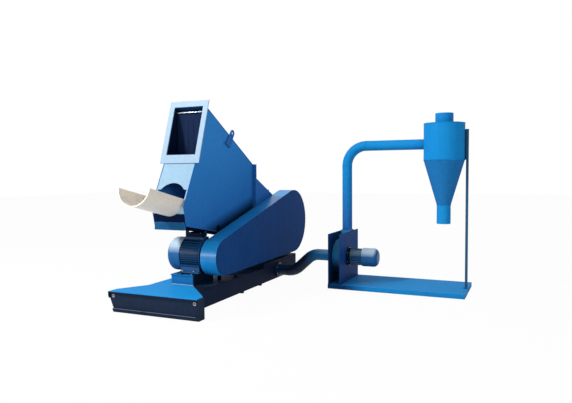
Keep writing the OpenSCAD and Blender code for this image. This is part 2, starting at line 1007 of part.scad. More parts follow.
module rotor_knives() {
  edge_y = sqrt(cut_r * cut_r - knife_t * knife_t);
  color(steel)
    difference() {
      for (k = [0 : knife_count - 1])
        translate([-rotor_half, rotor_y, rotor_z])
          rotate([arm_angle(k), 0, 0])
            rotate([90, 0, 90])
              linear_extrude(2 * rotor_half)
                polygon([
                  [arm_r - knife_heel, -knife_t],
                  [edge_y, -knife_t],
                  [edge_y - knife_t / 2, 0],
                  [arm_r - knife_heel, 0]
                ]);
      for (k = [0 : knife_count - 1], j = [0 : knife_bolt_count - 1])
        knife_hole(k, j, knife_bolt_r);
    }
}

module rotor_knife_bolts() {
  step = 2 * rotor_half / knife_bolt_count;
  color(steel)
    for (k = [0 : knife_count - 1], j = [0 : knife_bolt_count - 1])
      translate([-rotor_half + step / 2 + j * step, rotor_y, rotor_z])
        rotate([arm_angle(k), 0, 0])
          translate([0, arm_r - knife_w * knife_hole_share, -knife_t - knife_bolt_r]) {
            cylinder(h = knife_bolt_r, r = knife_bolt_r * nut_share, $fn = 6);
            cylinder(h = knife_t + knife_bolt_r + arm_tip_w - cut, r = knife_bolt_r - fit, $fn = fn_small);
          }
}

module bearing_housings() {
  color(deep_blue)
    for (side = [-1, 1])
      mirror([side < 0 ? 1 : 0, 0, 0])
        difference() {
          union() {
            bar_x(side_x1, side_x1 + housing_len, rotor_y, rotor_z, housing_r);
            intersection() {
              bar_x(side_x1, side_x1 + housing_flange_t, rotor_y, rotor_z, housing_r + foot_t / 2);
              block(
                [side_x1, rotor_y - housing_r, rotor_z - housing_r],
                [side_x1 + housing_flange_t, rotor_y + housing_r, rotor_z + housing_r]
              );
            }
          }
          bar_x(
            side_x1 + (housing_len - bearing_w) / 2,
            side_x1 + (housing_len + bearing_w) / 2,
            rotor_y,
            rotor_z,
            bearing_r
          );
          bar_x(side_x1 - cut, side_x1 + housing_len + cut, rotor_y, rotor_z, rotor_shaft_r + seal_gap);
        }
}

module rotor_bearings() {
  color(steel)
    for (side = [-1, 1])
      mirror([side < 0 ? 1 : 0, 0, 0])
        difference() {
          bar_x(
            side_x1 + (housing_len - bearing_w) / 2 + fit,
            side_x1 + (housing_len + bearing_w) / 2 - fit,
            rotor_y,
            rotor_z,
            bearing_r - fit
          );
          bar_x(side_x1 - cut, side_x1 + housing_len + cut, rotor_y, rotor_z, rotor_shaft_r + fit);
        }
}

module bed_knives() {
  color(steel) {
    yz(-inner_half, 2 * inner_half)
      polygon([
        [front_edge_y, floor_z],
        [front_edge_y - bed_w, floor_z],
        [front_edge_y - bed_w, floor_z - bed_t],
        [front_edge_y - cut_gap, floor_z - bed_t]
      ]);
    yz(-inner_half, 2 * inner_half)
      polygon([
        [rear_face_y, rotor_z],
        [rear_face_y + rear_bed_t, rotor_z + cut_gap],
        [rear_face_y + rear_bed_t, rotor_z + rear_bed_h],
        [rear_face_y, rotor_z + rear_bed_h]
      ]);
  }
}

// Chamber

module side_outline() {
  polygon([
    [chamber_front, ring_low_z + hopper_t],
    [chamber_front, flange_top],
    [top_front_y, flange_top],
    [base_len, top_rear_z],
    [base_len, sole_top],
    [apron_y, sole_top],
    [apron_y, ring_low_z + hopper_t - apron_drop]
  ]);
}

module side_plate(side) {
  difference() {
    yz(side > 0 ? side_x0 : -side_x1, side_t)
      side_outline();
    bar_x(
      side > 0 ? side_x0 - cut : -side_x1 - cut,
      side > 0 ? side_x1 + cut : -side_x0 + cut,
      rotor_y,
      rotor_z,
      rotor_shaft_r + seal_gap
    );
  }
}

module left_side_plate() {
  color(deep_blue)
    side_plate(-1);
}

module right_side_plate() {
  color(deep_blue)
    side_plate(1);
}

module front_knife_beam() {
  seat = front_edge_y - bed_w;
  color(deep_blue)
    yz(-side_x0, 2 * side_x0)
      polygon([
        [chamber_front, floor_z],
        [seat, floor_z],
        [seat, floor_z - bed_t],
        [front_edge_y - bed_t, floor_z - bed_t],
        [front_edge_y - 2 * bed_t, floor_z - apron_drop],
        [apron_y + apron_t, floor_z - apron_drop],
        [apron_y + apron_t, sole_top],
        [apron_y, sole_top],
        [apron_y, floor_z - apron_drop],
        [chamber_front, floor_z - bed_t]
      ]);
}

module rear_knife_beam() {
  color(deep_blue)
    yz(-side_x0, 2 * side_x0)
      polygon([
        [rear_beam_y, rotor_z + cut],
        [base_len, rotor_z + cut],
        [base_len, top_rear_z],
        [rear_beam_y, top_rear_z]
      ]);
}

module ring_outline() {
  polygon([
    [-hop_half - ring_w, ring_low_z],
    [hop_half + ring_w, ring_low_z],
    [hop_half + ring_w, ear_z],
    [hop_half + ear_w, ear_z],
    [hop_half + ear_w, ring_top_z],
    [-hop_half - ear_w, ring_top_z],
    [-hop_half - ear_w, ear_z],
    [-hop_half - ring_w, ear_z]
  ]);
}

// Bolts of the joint between hopper and chamber: X and Z of each
ring_step = (ring_top_z - ear_z - 2 * ring_bolt_in) / (ring_rows - 1);
ring_bolts = [
  for (side = [-1, 1], k = [0 : ring_rows - 1])
    [side * (side_x1 + ring_nut_r + play), ear_z + ring_bolt_in + k * ring_step]
];

module joint_ring(y0) {
  difference() {
    translate([0, y0 + flange_t, 0])
      rotate([90, 0, 0])
        linear_extrude(flange_t)
          ring_outline();
    block([-inner_half, y0 - cut, floor_z], [inner_half, y0 + flange_t + cut, flange_top - hopper_t]);
    for (p = ring_bolts)
      translate([p[0], y0 - cut, p[1]])
        rotate([-90, 0, 0])
          cylinder(h = flange_t + 2 * cut, r = ring_bolt_r, $fn = fn_small);
  }
}

module chamber_flange() {
  color(deep_blue) {
    joint_ring(flange_y);
    // header between the ring and the front edge of the cover
    block([-side_x0, chamber_front, flange_top - flange_t], [side_x0, top_front_y - gap, flange_top]);
  }
}

module hopper_flange() {
  color(deep_blue)
    joint_ring(hop_rear);
}

module flange_bolts() {
  head = ring_bolt_r;
  color(steel)
    for (p = ring_bolts)
      translate([p[0], hop_rear - head, p[1]])
        rotate([-90, 0, 0]) {
          cylinder(h = head, r = ring_nut_r, $fn = 6);
          cylinder(h = 2 * flange_t + 2 * head, r = ring_bolt_r - fit, $fn = fn_small);
          translate([0, 0, 2 * flange_t + head])
            cylinder(h = head, r = ring_nut_r, $fn = 6);
        }
}

// The cover lies on the sloping tops of the side plates
module on_cover() {
  translate([0, base_len, top_rear_z])
    rotate([-cover_angle, 0, 0])
      children();
}

module chamber_cover() {
  half = side_x1;
  color(deep_blue)
    on_cover()
      difference() {
        union() {
          block([-half, -cover_len, gap], [half, 0, cover_t]);
          for (share = cover_rib_shares)
            block(
              [-half + ring_w, -share * cover_len, cover_t],
              [half - ring_w, -share * cover_len + cover_t, cover_t + cover_rib_h]
            );
          // grip near the front edge
          for (side = [-1, 1])
            block(
              [side * half / 2 - handle_r, -cover_len + cover_rib_h, cover_t],
              [side * half / 2 + handle_r, -cover_len + cover_rib_h + 2 * handle_r, cover_t + handle_reach]
            );
          bar_x(
            -half / 2,
            half / 2,
            -cover_len + cover_rib_h + handle_r,
            cover_t + handle_reach - handle_r,
            handle_r,
            fn_small
          );
          // hinge knuckles on the rear edge
          for (side = [-1, 1])
            bar_x(
              side * half / 2 - knuckle_len / 2,
              side * half / 2 + knuckle_len / 2,
              knuckle_r,
              knuckle_r + gap,
              knuckle_r,
              fn_small
            );
          for (side = [-1, 1])
            block(
              [side * half / 2 - knuckle_len / 2, -knuckle_r, gap],
              [side * half / 2 + knuckle_len / 2, knuckle_r, cover_t]
            );
        }
        bar_x(-half, half, knuckle_r, knuckle_r + gap, hinge_r + fit, fn_small);
      }
}

cover_pin_y = base_len + knuckle_r * cos(cover_angle) + (knuckle_r + gap) * sin(cover_angle);
cover_pin_z = top_rear_z - knuckle_r * sin(cover_angle) + (knuckle_r + gap) * cos(cover_angle);
door_pin_x = -door_x - knuckle_r + 2 * gap;
door_pin_y = base_len + door_t + knuckle_r;

module hinge_pins() {
  color(steel) {
    // rear cover pins, each in a pair of ears on the rear knife beam
    for (side = [-1, 1])
      bar_x(
        side * side_x1 / 2 - knuckle_len / 2 - cover_t,
        side * side_x1 / 2 + knuckle_len / 2 + cover_t,
        cover_pin_y,
        cover_pin_z,
        hinge_r,
        fn_small
      );
    for (side = [-1, 1], end = [-1, 1])
      yz(side * side_x1 / 2 + end * (knuckle_len / 2 + cover_t / 2 + gap) - cover_t / 2, cover_t) {
        translate([cover_pin_y, cover_pin_z])
          circle(r = pin_ear_r, $fn = fn_small);
        polygon([
          [base_len, rotor_z + rear_bed_h / 2],
          [base_len, top_rear_z - pin_ear_r],
          [cover_pin_y - hinge_r, cover_pin_z - hinge_r / 2],
          [cover_pin_y + hinge_r, cover_pin_z - hinge_r]
        ]);
      }
    // rear door pin, in two ears on the left side plate
    translate([door_pin_x, door_pin_y, door_z0])
      cylinder(h = door_z1 - door_z0, r = hinge_r, $fn = fn_small);
    for (z = [door_z0, door_z1 - cover_t])
      block(
        [-side_x1 - knuckle_r * 2, base_len, z],
        [-side_x1 + 2 * gap, door_pin_y + hinge_r, z + cover_t]
      );
  }
}

module rear_door() {
  color(deep_blue)
    difference() {
      union() {
        block([-door_x + 4 * gap, base_len + gap, door_z0], [door_x, base_len + door_t, door_z1]);
        for (share = door_hinge_shares)
          translate([door_pin_x, door_pin_y, door_z0 + share * (door_z1 - door_z0) - knuckle_len / 2])
            cylinder(h = knuckle_len, r = knuckle_r, $fn = fn_small);
        for (share = door_hinge_shares)
          block(
            [door_pin_x, base_len + door_t, door_z0 + share * (door_z1 - door_z0) - knuckle_len / 2],
            [
              -door_x + knuckle_len,
              base_len + door_t + cover_t,
              door_z0 + share * (door_z1 - door_z0) + knuckle_len / 2
            ]
          );
        // pull handle at the free side
        for (end = [-1, 1])
          block(
            [door_x - 4 * knuckle_r, base_len + door_t, handle_z + end * knuckle_len - handle_r],
            [
              door_x - 4 * knuckle_r + 2 * handle_r,
              base_len + door_t + handle_reach,
              handle_z + end * knuckle_len + handle_r
            ]
          );
        translate([
          door_x - 4 * knuckle_r + handle_r,
          base_len + door_t + handle_reach - handle_r,
          handle_z - knuckle_len
        ])
          cylinder(h = 2 * knuckle_len, r = handle_r, $fn = fn_small);
      }
      translate([door_pin_x, door_pin_y, door_z0 - cut])
        cylinder(h = door_z1 - door_z0 + 2 * cut, r = hinge_r + fit, $fn = fn_small);
    }
}

module ring_sector(r0, r1, a0, a1) {
  open_third = (360 - a1 + a0) / 3;
  difference() {
    circle(r = r1, $fn = 128);
    circle(r = r0, $fn = 128);
    // everything outside the sector from a0 to a1, on the lower side
    polygon([
      [0, 0],
      [2 * r1 * cos(a1), 2 * r1 * sin(a1)],
      [2 * r1 * cos(a1 + open_third), 2 * r1 * sin(a1 + open_third)],
      [2 * r1 * cos(a1 + 2 * open_third), 2 * r1 * sin(a1 + 2 * open_third)],
      [2 * r1 * cos(a0), 2 * r1 * sin(a0)]
    ]);
  }
}

module screen() {
  rows = 9;
  cols = 9;
  color(steel)
    translate([0, rotor_y, rotor_z])
      difference() {
        yz(-inner_half + play, 2 * (inner_half - play))
          ring_sector(screen_r, screen_r + screen_t, screen_a0, screen_a1);
        for (i = [0 : rows - 1], j = [0 : cols - 1])
          translate([(j - (cols - 1) / 2) * 2 * inner_half / cols, 0, 0])
            rotate([screen_a0 + (i + 1) * (screen_a1 - screen_a0) / (rows + 1) - 90, 0, 0])
              translate([0, 0, screen_r - cut])
                cylinder(h = screen_t + 2 * cut, r = screen_hole_r, $fn = fn_small);
      }
}

module screen_cradle() {
  color(deep_blue)
    translate([0, rotor_y, rotor_z]) {
      for (share = cradle_rib_shares)
        yz(share * (inner_half - cradle_rib_w) - cradle_rib_w / 2, cradle_rib_w)
          ring_sector(cradle_r, cradle_r + cradle_t, screen_a0, screen_a1);
      // bars that carry the ribs, resting on pads of the side plates
      for (a = [screen_a0 + cradle_bar_in, screen_a1 - cradle_bar_in])
        rotate([a - 90, 0, 0])
          translate([-side_x0, -cradle_rib_w / 2, cradle_r])
            cube([2 * side_x0, cradle_rib_w, cradle_t]);
    }
}

module discharge_pan() {
  color(deep_blue) {
    difference() {
      block([-inner_half + gap, pan_y0 + gap, pan_z0], [inner_half - gap, pan_y1 - gap, sole_top]);
      block(
        [-inner_half + pan_t, pan_y0 + pan_t, pan_z0 + pan_t],
        [inner_half - pan_t, pan_y1 - pan_t, sole_top + cut]
      );
      bar_x(inner_half - 2 * pan_t, inner_half + pan_t, outlet_y, outlet_z, suction_r - pipe_t);
    }
    difference() {
      union() {
        bar_x(inner_half - gap, stub_x1, outlet_y, outlet_z, suction_r);
        bar_x(stub_x1 - pipe_flange_t, stub_x1, outlet_y, outlet_z, pipe_flange_r);
      }
      bar_x(inner_half - 2 * pan_t, stub_x1 + cut, outlet_y, outlet_z, suction_r - pipe_t);
    }
  }
}

// Hopper

function plane_at(z) = plane_y + (z - inlet_z) * lean;

module hopper_outline(t) {
  polygon([
    [plane_at(throat_low_z + t) + (t > 0 ? -cut : 0), throat_low_z + t],
    [plane_at(throat_low_z) + slope_share * t, throat_low_z + t],
    [nose_y + slope_share * t, nose_z + t / 2],
    [toe_y + t, toe_z + t],
    [hop_rear + (t > 0 ? cut : 0), heel_z + t],
    [hop_rear + (t > 0 ? cut : 0), hopper_rear_z - t],
    [plane_at(throat_high_z) + (t > 0 ? -cut : 0), throat_high_z - slope_share * t]
  ]);
}

module hopper_shell() {
  color(deep_blue)
    difference() {
      union() {
        yz(-hop_half, 2 * hop_half)
          hopper_outline(0);
        // bar along the foot of the front wall, under the trough
        block([-hop_half + bar_in, toe_y - bar_t, rim_z - bar_h], [hop_half - bar_in, toe_y + hopper_t, rim_z]);
      }
      yz(-inner_half, 2 * inner_half)
        hopper_outline(hopper_t);
      // mouth for the trough: round below, open up to the sloping front
      intersection() {
        trough_axis()
          cylinder(h = trough_reach, r = trough_r + gap, $fn = fn, center = true);
        block([-hop_half, 0, 0], [hop_half, trough_reach * 2, mouth_top * 2]);
      }
      block(
        [-trough_r - gap, 0, trough_level(toe_y - hopper_t)],
        [trough_r + gap, inlet_y - inlet_t, mouth_top]
      );
    }
}

// Height of the trough's axis at a distance y behind the front beam
function trough_level(y) = toe_z + mouth_drop + trough_r - (y - toe_y) * tan(trough_slope);

module trough_axis() {
  translate([0, toe_y, trough_level(toe_y)])
    rotate([-90 - trough_slope, 0, 0])
      children();
}

module feed_trough() {
  long = (trough_reach + toe_y) / cos(trough_slope);
  color(bare_sheet)
    intersection() {
      difference() {
        union() {
          trough_axis()
            translate([0, 0, -long])
              cylinder(h = long + trough_in, r = trough_r, $fn = fn);
          trough_axis()
            translate([0, 0, -long])
              cylinder(h = 2 * trough_t, r = trough_r + 2 * trough_t, $fn = fn);
        }
        trough_axis()
          translate([0, 0, -long - cut])
            cylinder(h = long + trough_in + 2 * cut, r = trough_r - trough_t, $fn = fn);
      }
      // lower half only
      trough_axis()
        translate([-2 * trough_r, 0, -2 * long])
          cube([4 * trough_r, 2 * trough_r, 4 * long]);
    }
}

module inlet_frame() {
  color(pale_blue)
    translate([0, inlet_y, inlet_z])
      rotate([-inlet_tilt, 0, 0])
        difference() {
          block([-inlet_w / 2, 0, 0], [inlet_w / 2, inlet_t, inlet_len]);
          block(
            [-inlet_w / 2 + inlet_side, -cut, inlet_low],
            [inlet_w / 2 - inlet_side, inlet_t + cut, inlet_len - inlet_high]
          );
        }
}

rod_y = plane_at(rod_z) + rod_back;

module curtain_rod() {
  color(steel)
    bar_x(-inner_half, inner_half, rod_y, rod_z, rod_r, fn_small);
}

module feed_curtain() {
  strip = 2 * curtain_half / curtain_strips;
  color(rubber_black)
    difference() {
      union() {
        bar_x(-curtain_half, curtain_half, rod_y, rod_z, rod_r + curtain_t, fn_small);
        block(
          [-curtain_half, rod_y - curtain_t / 2, rod_z - curtain_drop],
          [curtain_half, rod_y + curtain_t / 2, rod_z]
        );
      }
      bar_x(-curtain_half - cut, curtain_half + cut, rod_y, rod_z, rod_r + gap, fn_small);
      for (k = [1 : curtain_strips - 1])
        block(
          [-curtain_half + k * strip - curtain_slit / 2, rod_y - curtain_t, rod_z - curtain_drop - cut],
          [-curtain_half + k * strip + curtain_slit / 2, rod_y + curtain_t, rod_z - curtain_head]
        );
    }
}

roof_angle = atan2(throat_high_z - hopper_rear_z, hop_rear - plane_at(throat_high_z));
lug_z = throat_high_z - (lug_y - plane_at(throat_high_z)) * tan(roof_angle);

module lifting_lugs() {
  color(deep_blue)
    for (side = [-1, 1])
      translate([side > 0 ? hop_half : -hop_half - lug_t, lug_y, lug_z])
        rotate([-roof_angle, 0, 0])
          rotate([90, 0, 90])
            linear_extrude(lug_t)
              difference() {
                union() {
                  polygon([
                    [-lug_w / 2, lug_rise],
                    [-lug_foot_w / 2 - lug_lean, -lug_sink],
                    [lug_foot_w / 2 - lug_lean, -lug_sink],
                    [lug_w / 2, lug_rise]
                  ]);
                  translate([0, lug_rise])
                    circle(r = lug_w / 2, $fn = fn_small);
                }
                translate([0, lug_rise])
                  circle(r = lug_hole_r, $fn = fn_small);
              }
}

module hopper_legs() {
  color(navy)
    for (side = [-1, 1])
      difference() {
        block(
          [side > 0 ? hop_half : -hop_half - leg_w, leg_y, deck_top],
          [side > 0 ? hop_half + leg_w : -hop_half, leg_y + leg_d, leg_top]
        );
        block(
          [side > 0 ? hop_half + fin_t : -hop_half - leg_w - cut, leg_y + fin_t, deck_top - cut],
          [side > 0 ? hop_half + leg_w + cut : -hop_half - fin_t, leg_y + leg_d - fin_t, leg_top + cut]
        );
      }
}

// Suction pipe from the discharge pan to the fan

// A bend of the pipe that starts here along +Z and leans over towards +X, and what follows it
module bend_then(r, curve, angle) {
  translate([curve, 0, 0])
    rotate([90, 0, 180])
      rotate_extrude(angle = angle, $fn = 128)
        translate([curve, 0])
          circle(r = r, $fn = 48);
  translate([curve, 0, 0])
    rotate([0, angle, 0])
      translate([-curve, 0, 0])
        children();
}

// The run of the pipe as a solid bar of radius r, longer by a run-out at both ends
module suction_run(r, over) {
  translate([pipe_x0, outlet_y, outlet_z])
    rotate([0, 90, 0]) {
      translate([0, 0, -over])
        cylinder(h = level_in + over, r = r, $fn = 48);
      translate([0, 0, level_in])
        rotate([0, 0, 180])
          bend_then(r, elbow_r, bend_angle) {
            cylinder(h = slant_len, r = r, $fn = 48);
            translate([0, 0, slant_len])
              rotate([0, 0, 180])
                bend_then(r, elbow_r, bend_angle)
                  cylinder(h = pipe_x1 - pipe_x0 - level_in - s_len + over, r = r, $fn = 48);
          }
    }
}

module suction_pipe() {
  color(azure)
    difference() {
      union() {
        suction_run(suction_r, 0);
        bar_x(pipe_x0, pipe_x0 + pipe_flange_t, outlet_y, outlet_z, pipe_flange_r);
        bar_x(pipe_x1 - pipe_flange_t, pipe_x1, outlet_y, fan_z, pipe_flange_r);
      }
      suction_run(suction_r - pipe_t, cut);
    }
}

// Fan stand

module stand_base() {
  color(azure)
    difference() {
      block([stand_x, stand_y, 0], [stand_x + stand_len, stand_y + stand_depth, stand_h]);
      block(
        [stand_x + stand_wall, stand_y + stand_wall, -cut],
        [stand_x + stand_len - stand_wall, stand_y + stand_depth - stand_wall, stand_h - stand_wall]
      );
    }
}

module fan_inlet_plate() {
  color(navy)
    difference() {
      block([fan_x0, stand_y, stand_h], [fan_x1, stand_y + stand_depth, plate_top]);
      bar_x(fan_x0 - cut, fan_x1 + cut, fan_y, fan_z, inlet_hole_r);
    }
}

module fan_motor_plate() {
  color(navy)
    difference() {
      block([fan_x2, stand_y, stand_h], [fan_x3, stand_y + stand_depth, plate_top]);
      bar_x(fan_x2 - cut, fan_x3 + cut, fan_y, fan_z, fan_shaft_r + flange_disc_t);
    }
}

// The scroll's outline: radius grows from above the wheel, over the front and under, to the rear
function scroll_at(k) = scroll_r * (scroll_start_share + (1 - scroll_start_share) * k / scroll_steps);

module scroll_outline(shrink) {
  union() {
    polygon([
      for (k = [0 : scroll_steps])
        [
          fan_y + (scroll_at(k) - shrink) * cos(90 + k * 270 / scroll_steps),
          fan_z + (scroll_at(k) - shrink) * sin(90 + k * 270 / scroll_steps)
        ]
    ]);
    translate([riser_y - duct_r + shrink - scroll_t, fan_z])
      square([2 * duct_r + 2 * scroll_t - 2 * shrink, plate_top - fan_z + (shrink > 0 ? cut : 0)]);
    translate([fan_y, fan_z])
      square([riser_y - fan_y, scroll_at(0) - shrink]);
  }
}

module fan_scroll() {
  color(azure)
    yz(fan_x1, fan_gap)
      difference() {
        scroll_outline(0);
        scroll_outline(scroll_t);
      }
}

module fan_wheel() {
  w0 = fan_x1 + wheel_clear;
  w1 = fan_x2 - wheel_clear;
  color(steel)
    translate([0, fan_y, fan_z]) {
      difference() {
        yz(w0, w1 - w0 - blade_t)
          union() {
            circle(r = fan_shaft_r + blade_t, $fn = fn);
            blade_star(blade_count, blade_t, fan_shaft_r, wheel_r - blade_t);
          }
        bar_x(w0 - cut, w0 + blade_t, 0, 0, blade_root_r);
      }
      bar_x(w1 - blade_t, w1, 0, 0, wheel_r);
      bar_x(w1, fan_x3 + flange_disc_t, 0, 0, fan_shaft_r + blade_t);
    }
}

module fan_motor() {
  x0 = fan_x3;
  x1 = x0 + flange_disc_t;
  x2 = x1 + fan_motor_len;
  color(motor_blue)
    difference() {
      union() {
        bar_x(x0, x1, fan_y, fan_z, flange_disc_r);
        bar_x(x1, x2, fan_y, fan_z, fan_motor_r - fan_fin_h);
        for (k = [0 : fan_fin_count - 1])
          translate([x1, fan_y, fan_z])
            rotate([k * 360 / fan_fin_count, 0, 0])
              translate([0, -fin_t / 2, fan_motor_r - 2 * fan_fin_h])
                cube([fan_motor_len, fin_t, 2 * fan_fin_h]);
      }
      bar_x(x0 - cut, x1 + play, fan_y, fan_z, fan_shaft_r + blade_t + fit);
    }
}

module fan_motor_cowl() {
  x0 = fan_x3 + flange_disc_t + fan_motor_len;
  color(motor_blue)
    translate([x0 + fan_cowl_len, fan_y, fan_z])
      rotate([0, -90, 0])
        rotate_extrude($fn = fn)
          difference() {
            union() {
              translate([0, fan_cowl_round])
                square([fan_cowl_r, fan_cowl_len - fan_cowl_round]);
              square([fan_cowl_r - fan_cowl_round, fan_cowl_round]);
              intersection() {
                translate([fan_cowl_r - fan_cowl_round, fan_cowl_round])
                  circle(r = fan_cowl_round, $fn = 64);
                square([fan_cowl_r, fan_cowl_round]);
              }
            }
            translate([0, fan_cowl_round])
              square([fan_cowl_r - cowl_wall, fan_cowl_len - fan_cowl_round - cowl_wall]);
          }
}

module conveying_pipe() {
  run_x1 = cyclone_x;
  color(azure)
    difference() {
      union() {
        translate([riser_x, riser_y, plate_top])
          cylinder(h = duct_z - bend_r - plate_top, r = duct_r, $fn = fn);
        translate([riser_x, riser_y, plate_top])
          translate([-fan_gap / 2, -duct_r - scroll_t, 0])
            cube([fan_gap, 2 * (duct_r + scroll_t), pipe_flange_t]);
        translate([riser_x + bend_r, riser_y, duct_z - bend_r])
          rotate([0, 0, 180])
            rotate([90, 0, 0])
              rotate_extrude(angle = 90, $fn = 128)
                translate([bend_r, 0])
                  circle(r = duct_r, $fn = 48);
        bar_x(riser_x + bend_r, run_x1, riser_y, duct_z, duct_r);
      }
      translate([riser_x, riser_y, plate_top - cut])
        cylinder(h = duct_z - bend_r - plate_top + cut, r = duct_r - pipe_t, $fn = fn);
      translate([riser_x + bend_r, riser_y, duct_z - bend_r])
        rotate([0, 0, 180])
          rotate([90, 0, 0])
            rotate_extrude(angle = 90, $fn = 128)
              translate([bend_r, 0])
                circle(r = duct_r - pipe_t, $fn = 48);
      bar_x(riser_x + bend_r, run_x1 + cut, riser_y, duct_z, duct_r - pipe_t);
      translate([cyclone_x, cyclone_y, barrel_z0])
        cylinder(h = barrel_z1 - barrel_z0, r = cyclone_r, $fn = 128);
    }
}

module cyclone_body() {
  color(azure)
    translate([cyclone_x, cyclone_y, 0])
      difference() {
        rotate_extrude($fn = 128)
          polygon([
            [spout_r, spout_z],
            [spout_r, cone_z],
            [cyclone_r, barrel_z0],
            [cyclone_r, barrel_z1],
            [cyclone_r - pipe_t, barrel_z1],
            [cyclone_r - pipe_t, barrel_z0],
            [spout_r - pipe_t, cone_z],
            [spout_r - pipe_t, spout_z]
          ]);
        bar_x(-cyclone_r, 0, riser_y - cyclone_y, duct_z, duct_r - pipe_t);
      }
    translate([cyclone_x, cyclone_y, 0])
      rotate_extrude($fn = 128)
        union() {
          translate([vent_r - pipe_t, barrel_z1])
            square([cyclone_r + lid_lip - vent_r + pipe_t, lid_t]);
          translate([vent_r - pipe_t, finder_z])
            square([pipe_t, vent_z - finder_z]);
        }
}

module cyclone_post() {
  y0 = cyclone_y - post_w / 2;
  color(azure)
    difference() {
      union() {
        block([post_x, y0, stand_h], [post_x + post_w, y0 + post_w, post_top]);
        block(
          [post_x - post_w / 2, y0 - post_w / 2, stand_h],
          [post_x + post_w, y0 + 3 * post_w / 2, stand_h + bracket_t]
        );
        block(
          [cyclone_x + cyclone_r - post_w, y0 + post_w / 2 - bracket_t / 2, barrel_z0],
          [post_x, y0 + post_w / 2 + bracket_t / 2, post_top]
        );
      }
      translate([cyclone_x, cyclone_y, barrel_z0])
        cylinder(h = barrel_z1 - barrel_z0, r = cyclone_r, $fn = 128);
    }
}

front_beam();
left_rail();
right_rail();
cross_members();
levelling_pads();
deck_plate();
sole_plate();
motor_pedestal();
motor_slide_rails();
motor_frame();
motor_end_shields();
motor_fan_cowl();
motor_terminal_box();
motor_shaft();
motor_cooling_fan();
motor_pulley();
v_belts();
rotor_pulley();
guard_back_plate();
guard_rim();
guard_cover();
guard_brackets();
rotor_shaft();
rotor_body();
rotor_knives();
rotor_knife_bolts();
bearing_housings();
rotor_bearings();
bed_knives();
left_side_plate();
right_side_plate();
front_knife_beam();
rear_knife_beam();
chamber_flange();
chamber_cover();
hinge_pins();
screen();
screen_cradle();
rear_door();
discharge_pan();
hopper_shell();
hopper_flange();
flange_bolts();
inlet_frame();
curtain_rod();
feed_curtain();
lifting_lugs();
feed_trough();
hopper_legs();
suction_pipe();
stand_base();
fan_inlet_plate();
fan_motor_plate();
fan_scroll();
fan_wheel();
fan_motor();
fan_motor_cowl();
conveying_pipe();
cyclone_body();
cyclone_post();
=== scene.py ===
# %% [markdown]
# A plastic granulator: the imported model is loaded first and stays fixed. Everything
# below only dresses it: a camera, soft light, painted and bare metal finishes, and the
# small fasteners and weld seams that a machine of this kind carries.

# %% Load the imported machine
import json
import math

import bmesh
import bpy
from mathutils import Matrix, Vector


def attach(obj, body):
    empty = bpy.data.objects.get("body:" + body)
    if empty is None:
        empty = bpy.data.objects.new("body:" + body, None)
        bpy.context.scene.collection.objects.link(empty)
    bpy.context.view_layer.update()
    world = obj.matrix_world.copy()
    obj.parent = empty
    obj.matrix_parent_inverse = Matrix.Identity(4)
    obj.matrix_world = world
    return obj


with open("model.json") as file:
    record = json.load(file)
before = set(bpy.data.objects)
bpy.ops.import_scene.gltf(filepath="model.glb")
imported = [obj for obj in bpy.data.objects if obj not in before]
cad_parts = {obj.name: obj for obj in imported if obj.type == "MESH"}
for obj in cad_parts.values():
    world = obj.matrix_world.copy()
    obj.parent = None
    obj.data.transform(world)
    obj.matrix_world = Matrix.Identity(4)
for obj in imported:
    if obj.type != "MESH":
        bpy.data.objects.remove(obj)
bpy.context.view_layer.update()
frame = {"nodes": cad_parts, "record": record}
nodes = frame["nodes"]
scene = bpy.context.scene
scene.view_settings.view_transform = "Standard"

# %% [markdown]
# The camera stands where the photographer stood: at eye height, in front of the
# machine and to its right, looking back along it. The numbers come from fitting the
# machine's corners to the picture, and the lens is given for a 36 mm wide sensor.

# %% Camera
CAMERA_AT = Vector((3.6534, -4.7895, 1.5029))
CAMERA_TURN, CAMERA_TILT, CAMERA_ROLL = (math.radians(a) for a in (23.841, -2.920, -0.393))
LENS_MM, SENSOR_MM = 34.946, 36


def look_axes(turn, tilt, roll):
    """The camera's own directions: ahead, right and up."""
    ahead = Vector((-math.sin(turn) * math.cos(tilt), math.cos(turn) * math.cos(tilt), math.sin(tilt)))
    level = Vector((math.cos(turn), math.sin(turn), 0))
    upright = level.cross(ahead)
    right = level * math.cos(roll) + upright * math.sin(roll)
    up = upright * math.cos(roll) - level * math.sin(roll)
    return ahead, right, up


ahead, right, up = look_axes(CAMERA_TURN, CAMERA_TILT, CAMERA_ROLL)
bpy.ops.object.camera_add(location=CAMERA_AT)
camera = bpy.context.object
camera.matrix_world = Matrix((
    (right.x, up.x, -ahead.x, CAMERA_AT.x),
    (right.y, up.y, -ahead.y, CAMERA_AT.y),
    (right.z, up.z, -ahead.z, CAMERA_AT.z),
    (0, 0, 0, 1),
))
camera.data.lens = LENS_MM
camera.data.sensor_width = SENSOR_MM
scene.camera = camera
print("camera looks along", tuple(round(v, 3) for v in ahead))

# %% [markdown]
# Shader maths reads best as plain arithmetic. `Signal` wraps one socket, so that
# `1 - dust * 0.5` builds its own Math nodes. `Finish` holds one material and adds any
# other node through a single method: type, settings, then the socket values or links.


# %% A small language for materials
class Signal:
    def __init__(self, finish, socket):
        self.finish, self.socket = finish, socket

    def math(self, operation, a, b=0.0, clamp=False):
        settings = {"operation": operation, "use_clamp": clamp}
        return self.finish.add("ShaderNodeMath", settings, {0: a, 1: b})

    def __add__(self, other):
        return self.math("ADD", self, other)

    def __sub__(self, other):
        return self.math("SUBTRACT", self, other)

    def __rsub__(self, other):
        return self.math("SUBTRACT", other, self)

    def __mul__(self, other):
        return self.math("MULTIPLY", self, other)

    __radd__ = __add__
    __rmul__ = __mul__

    def step(self, low, high):
        """0 below low, 1 above high, straight in between."""
        return self.math("MULTIPLY", self - low, 1.0 / (high - low), clamp=True)


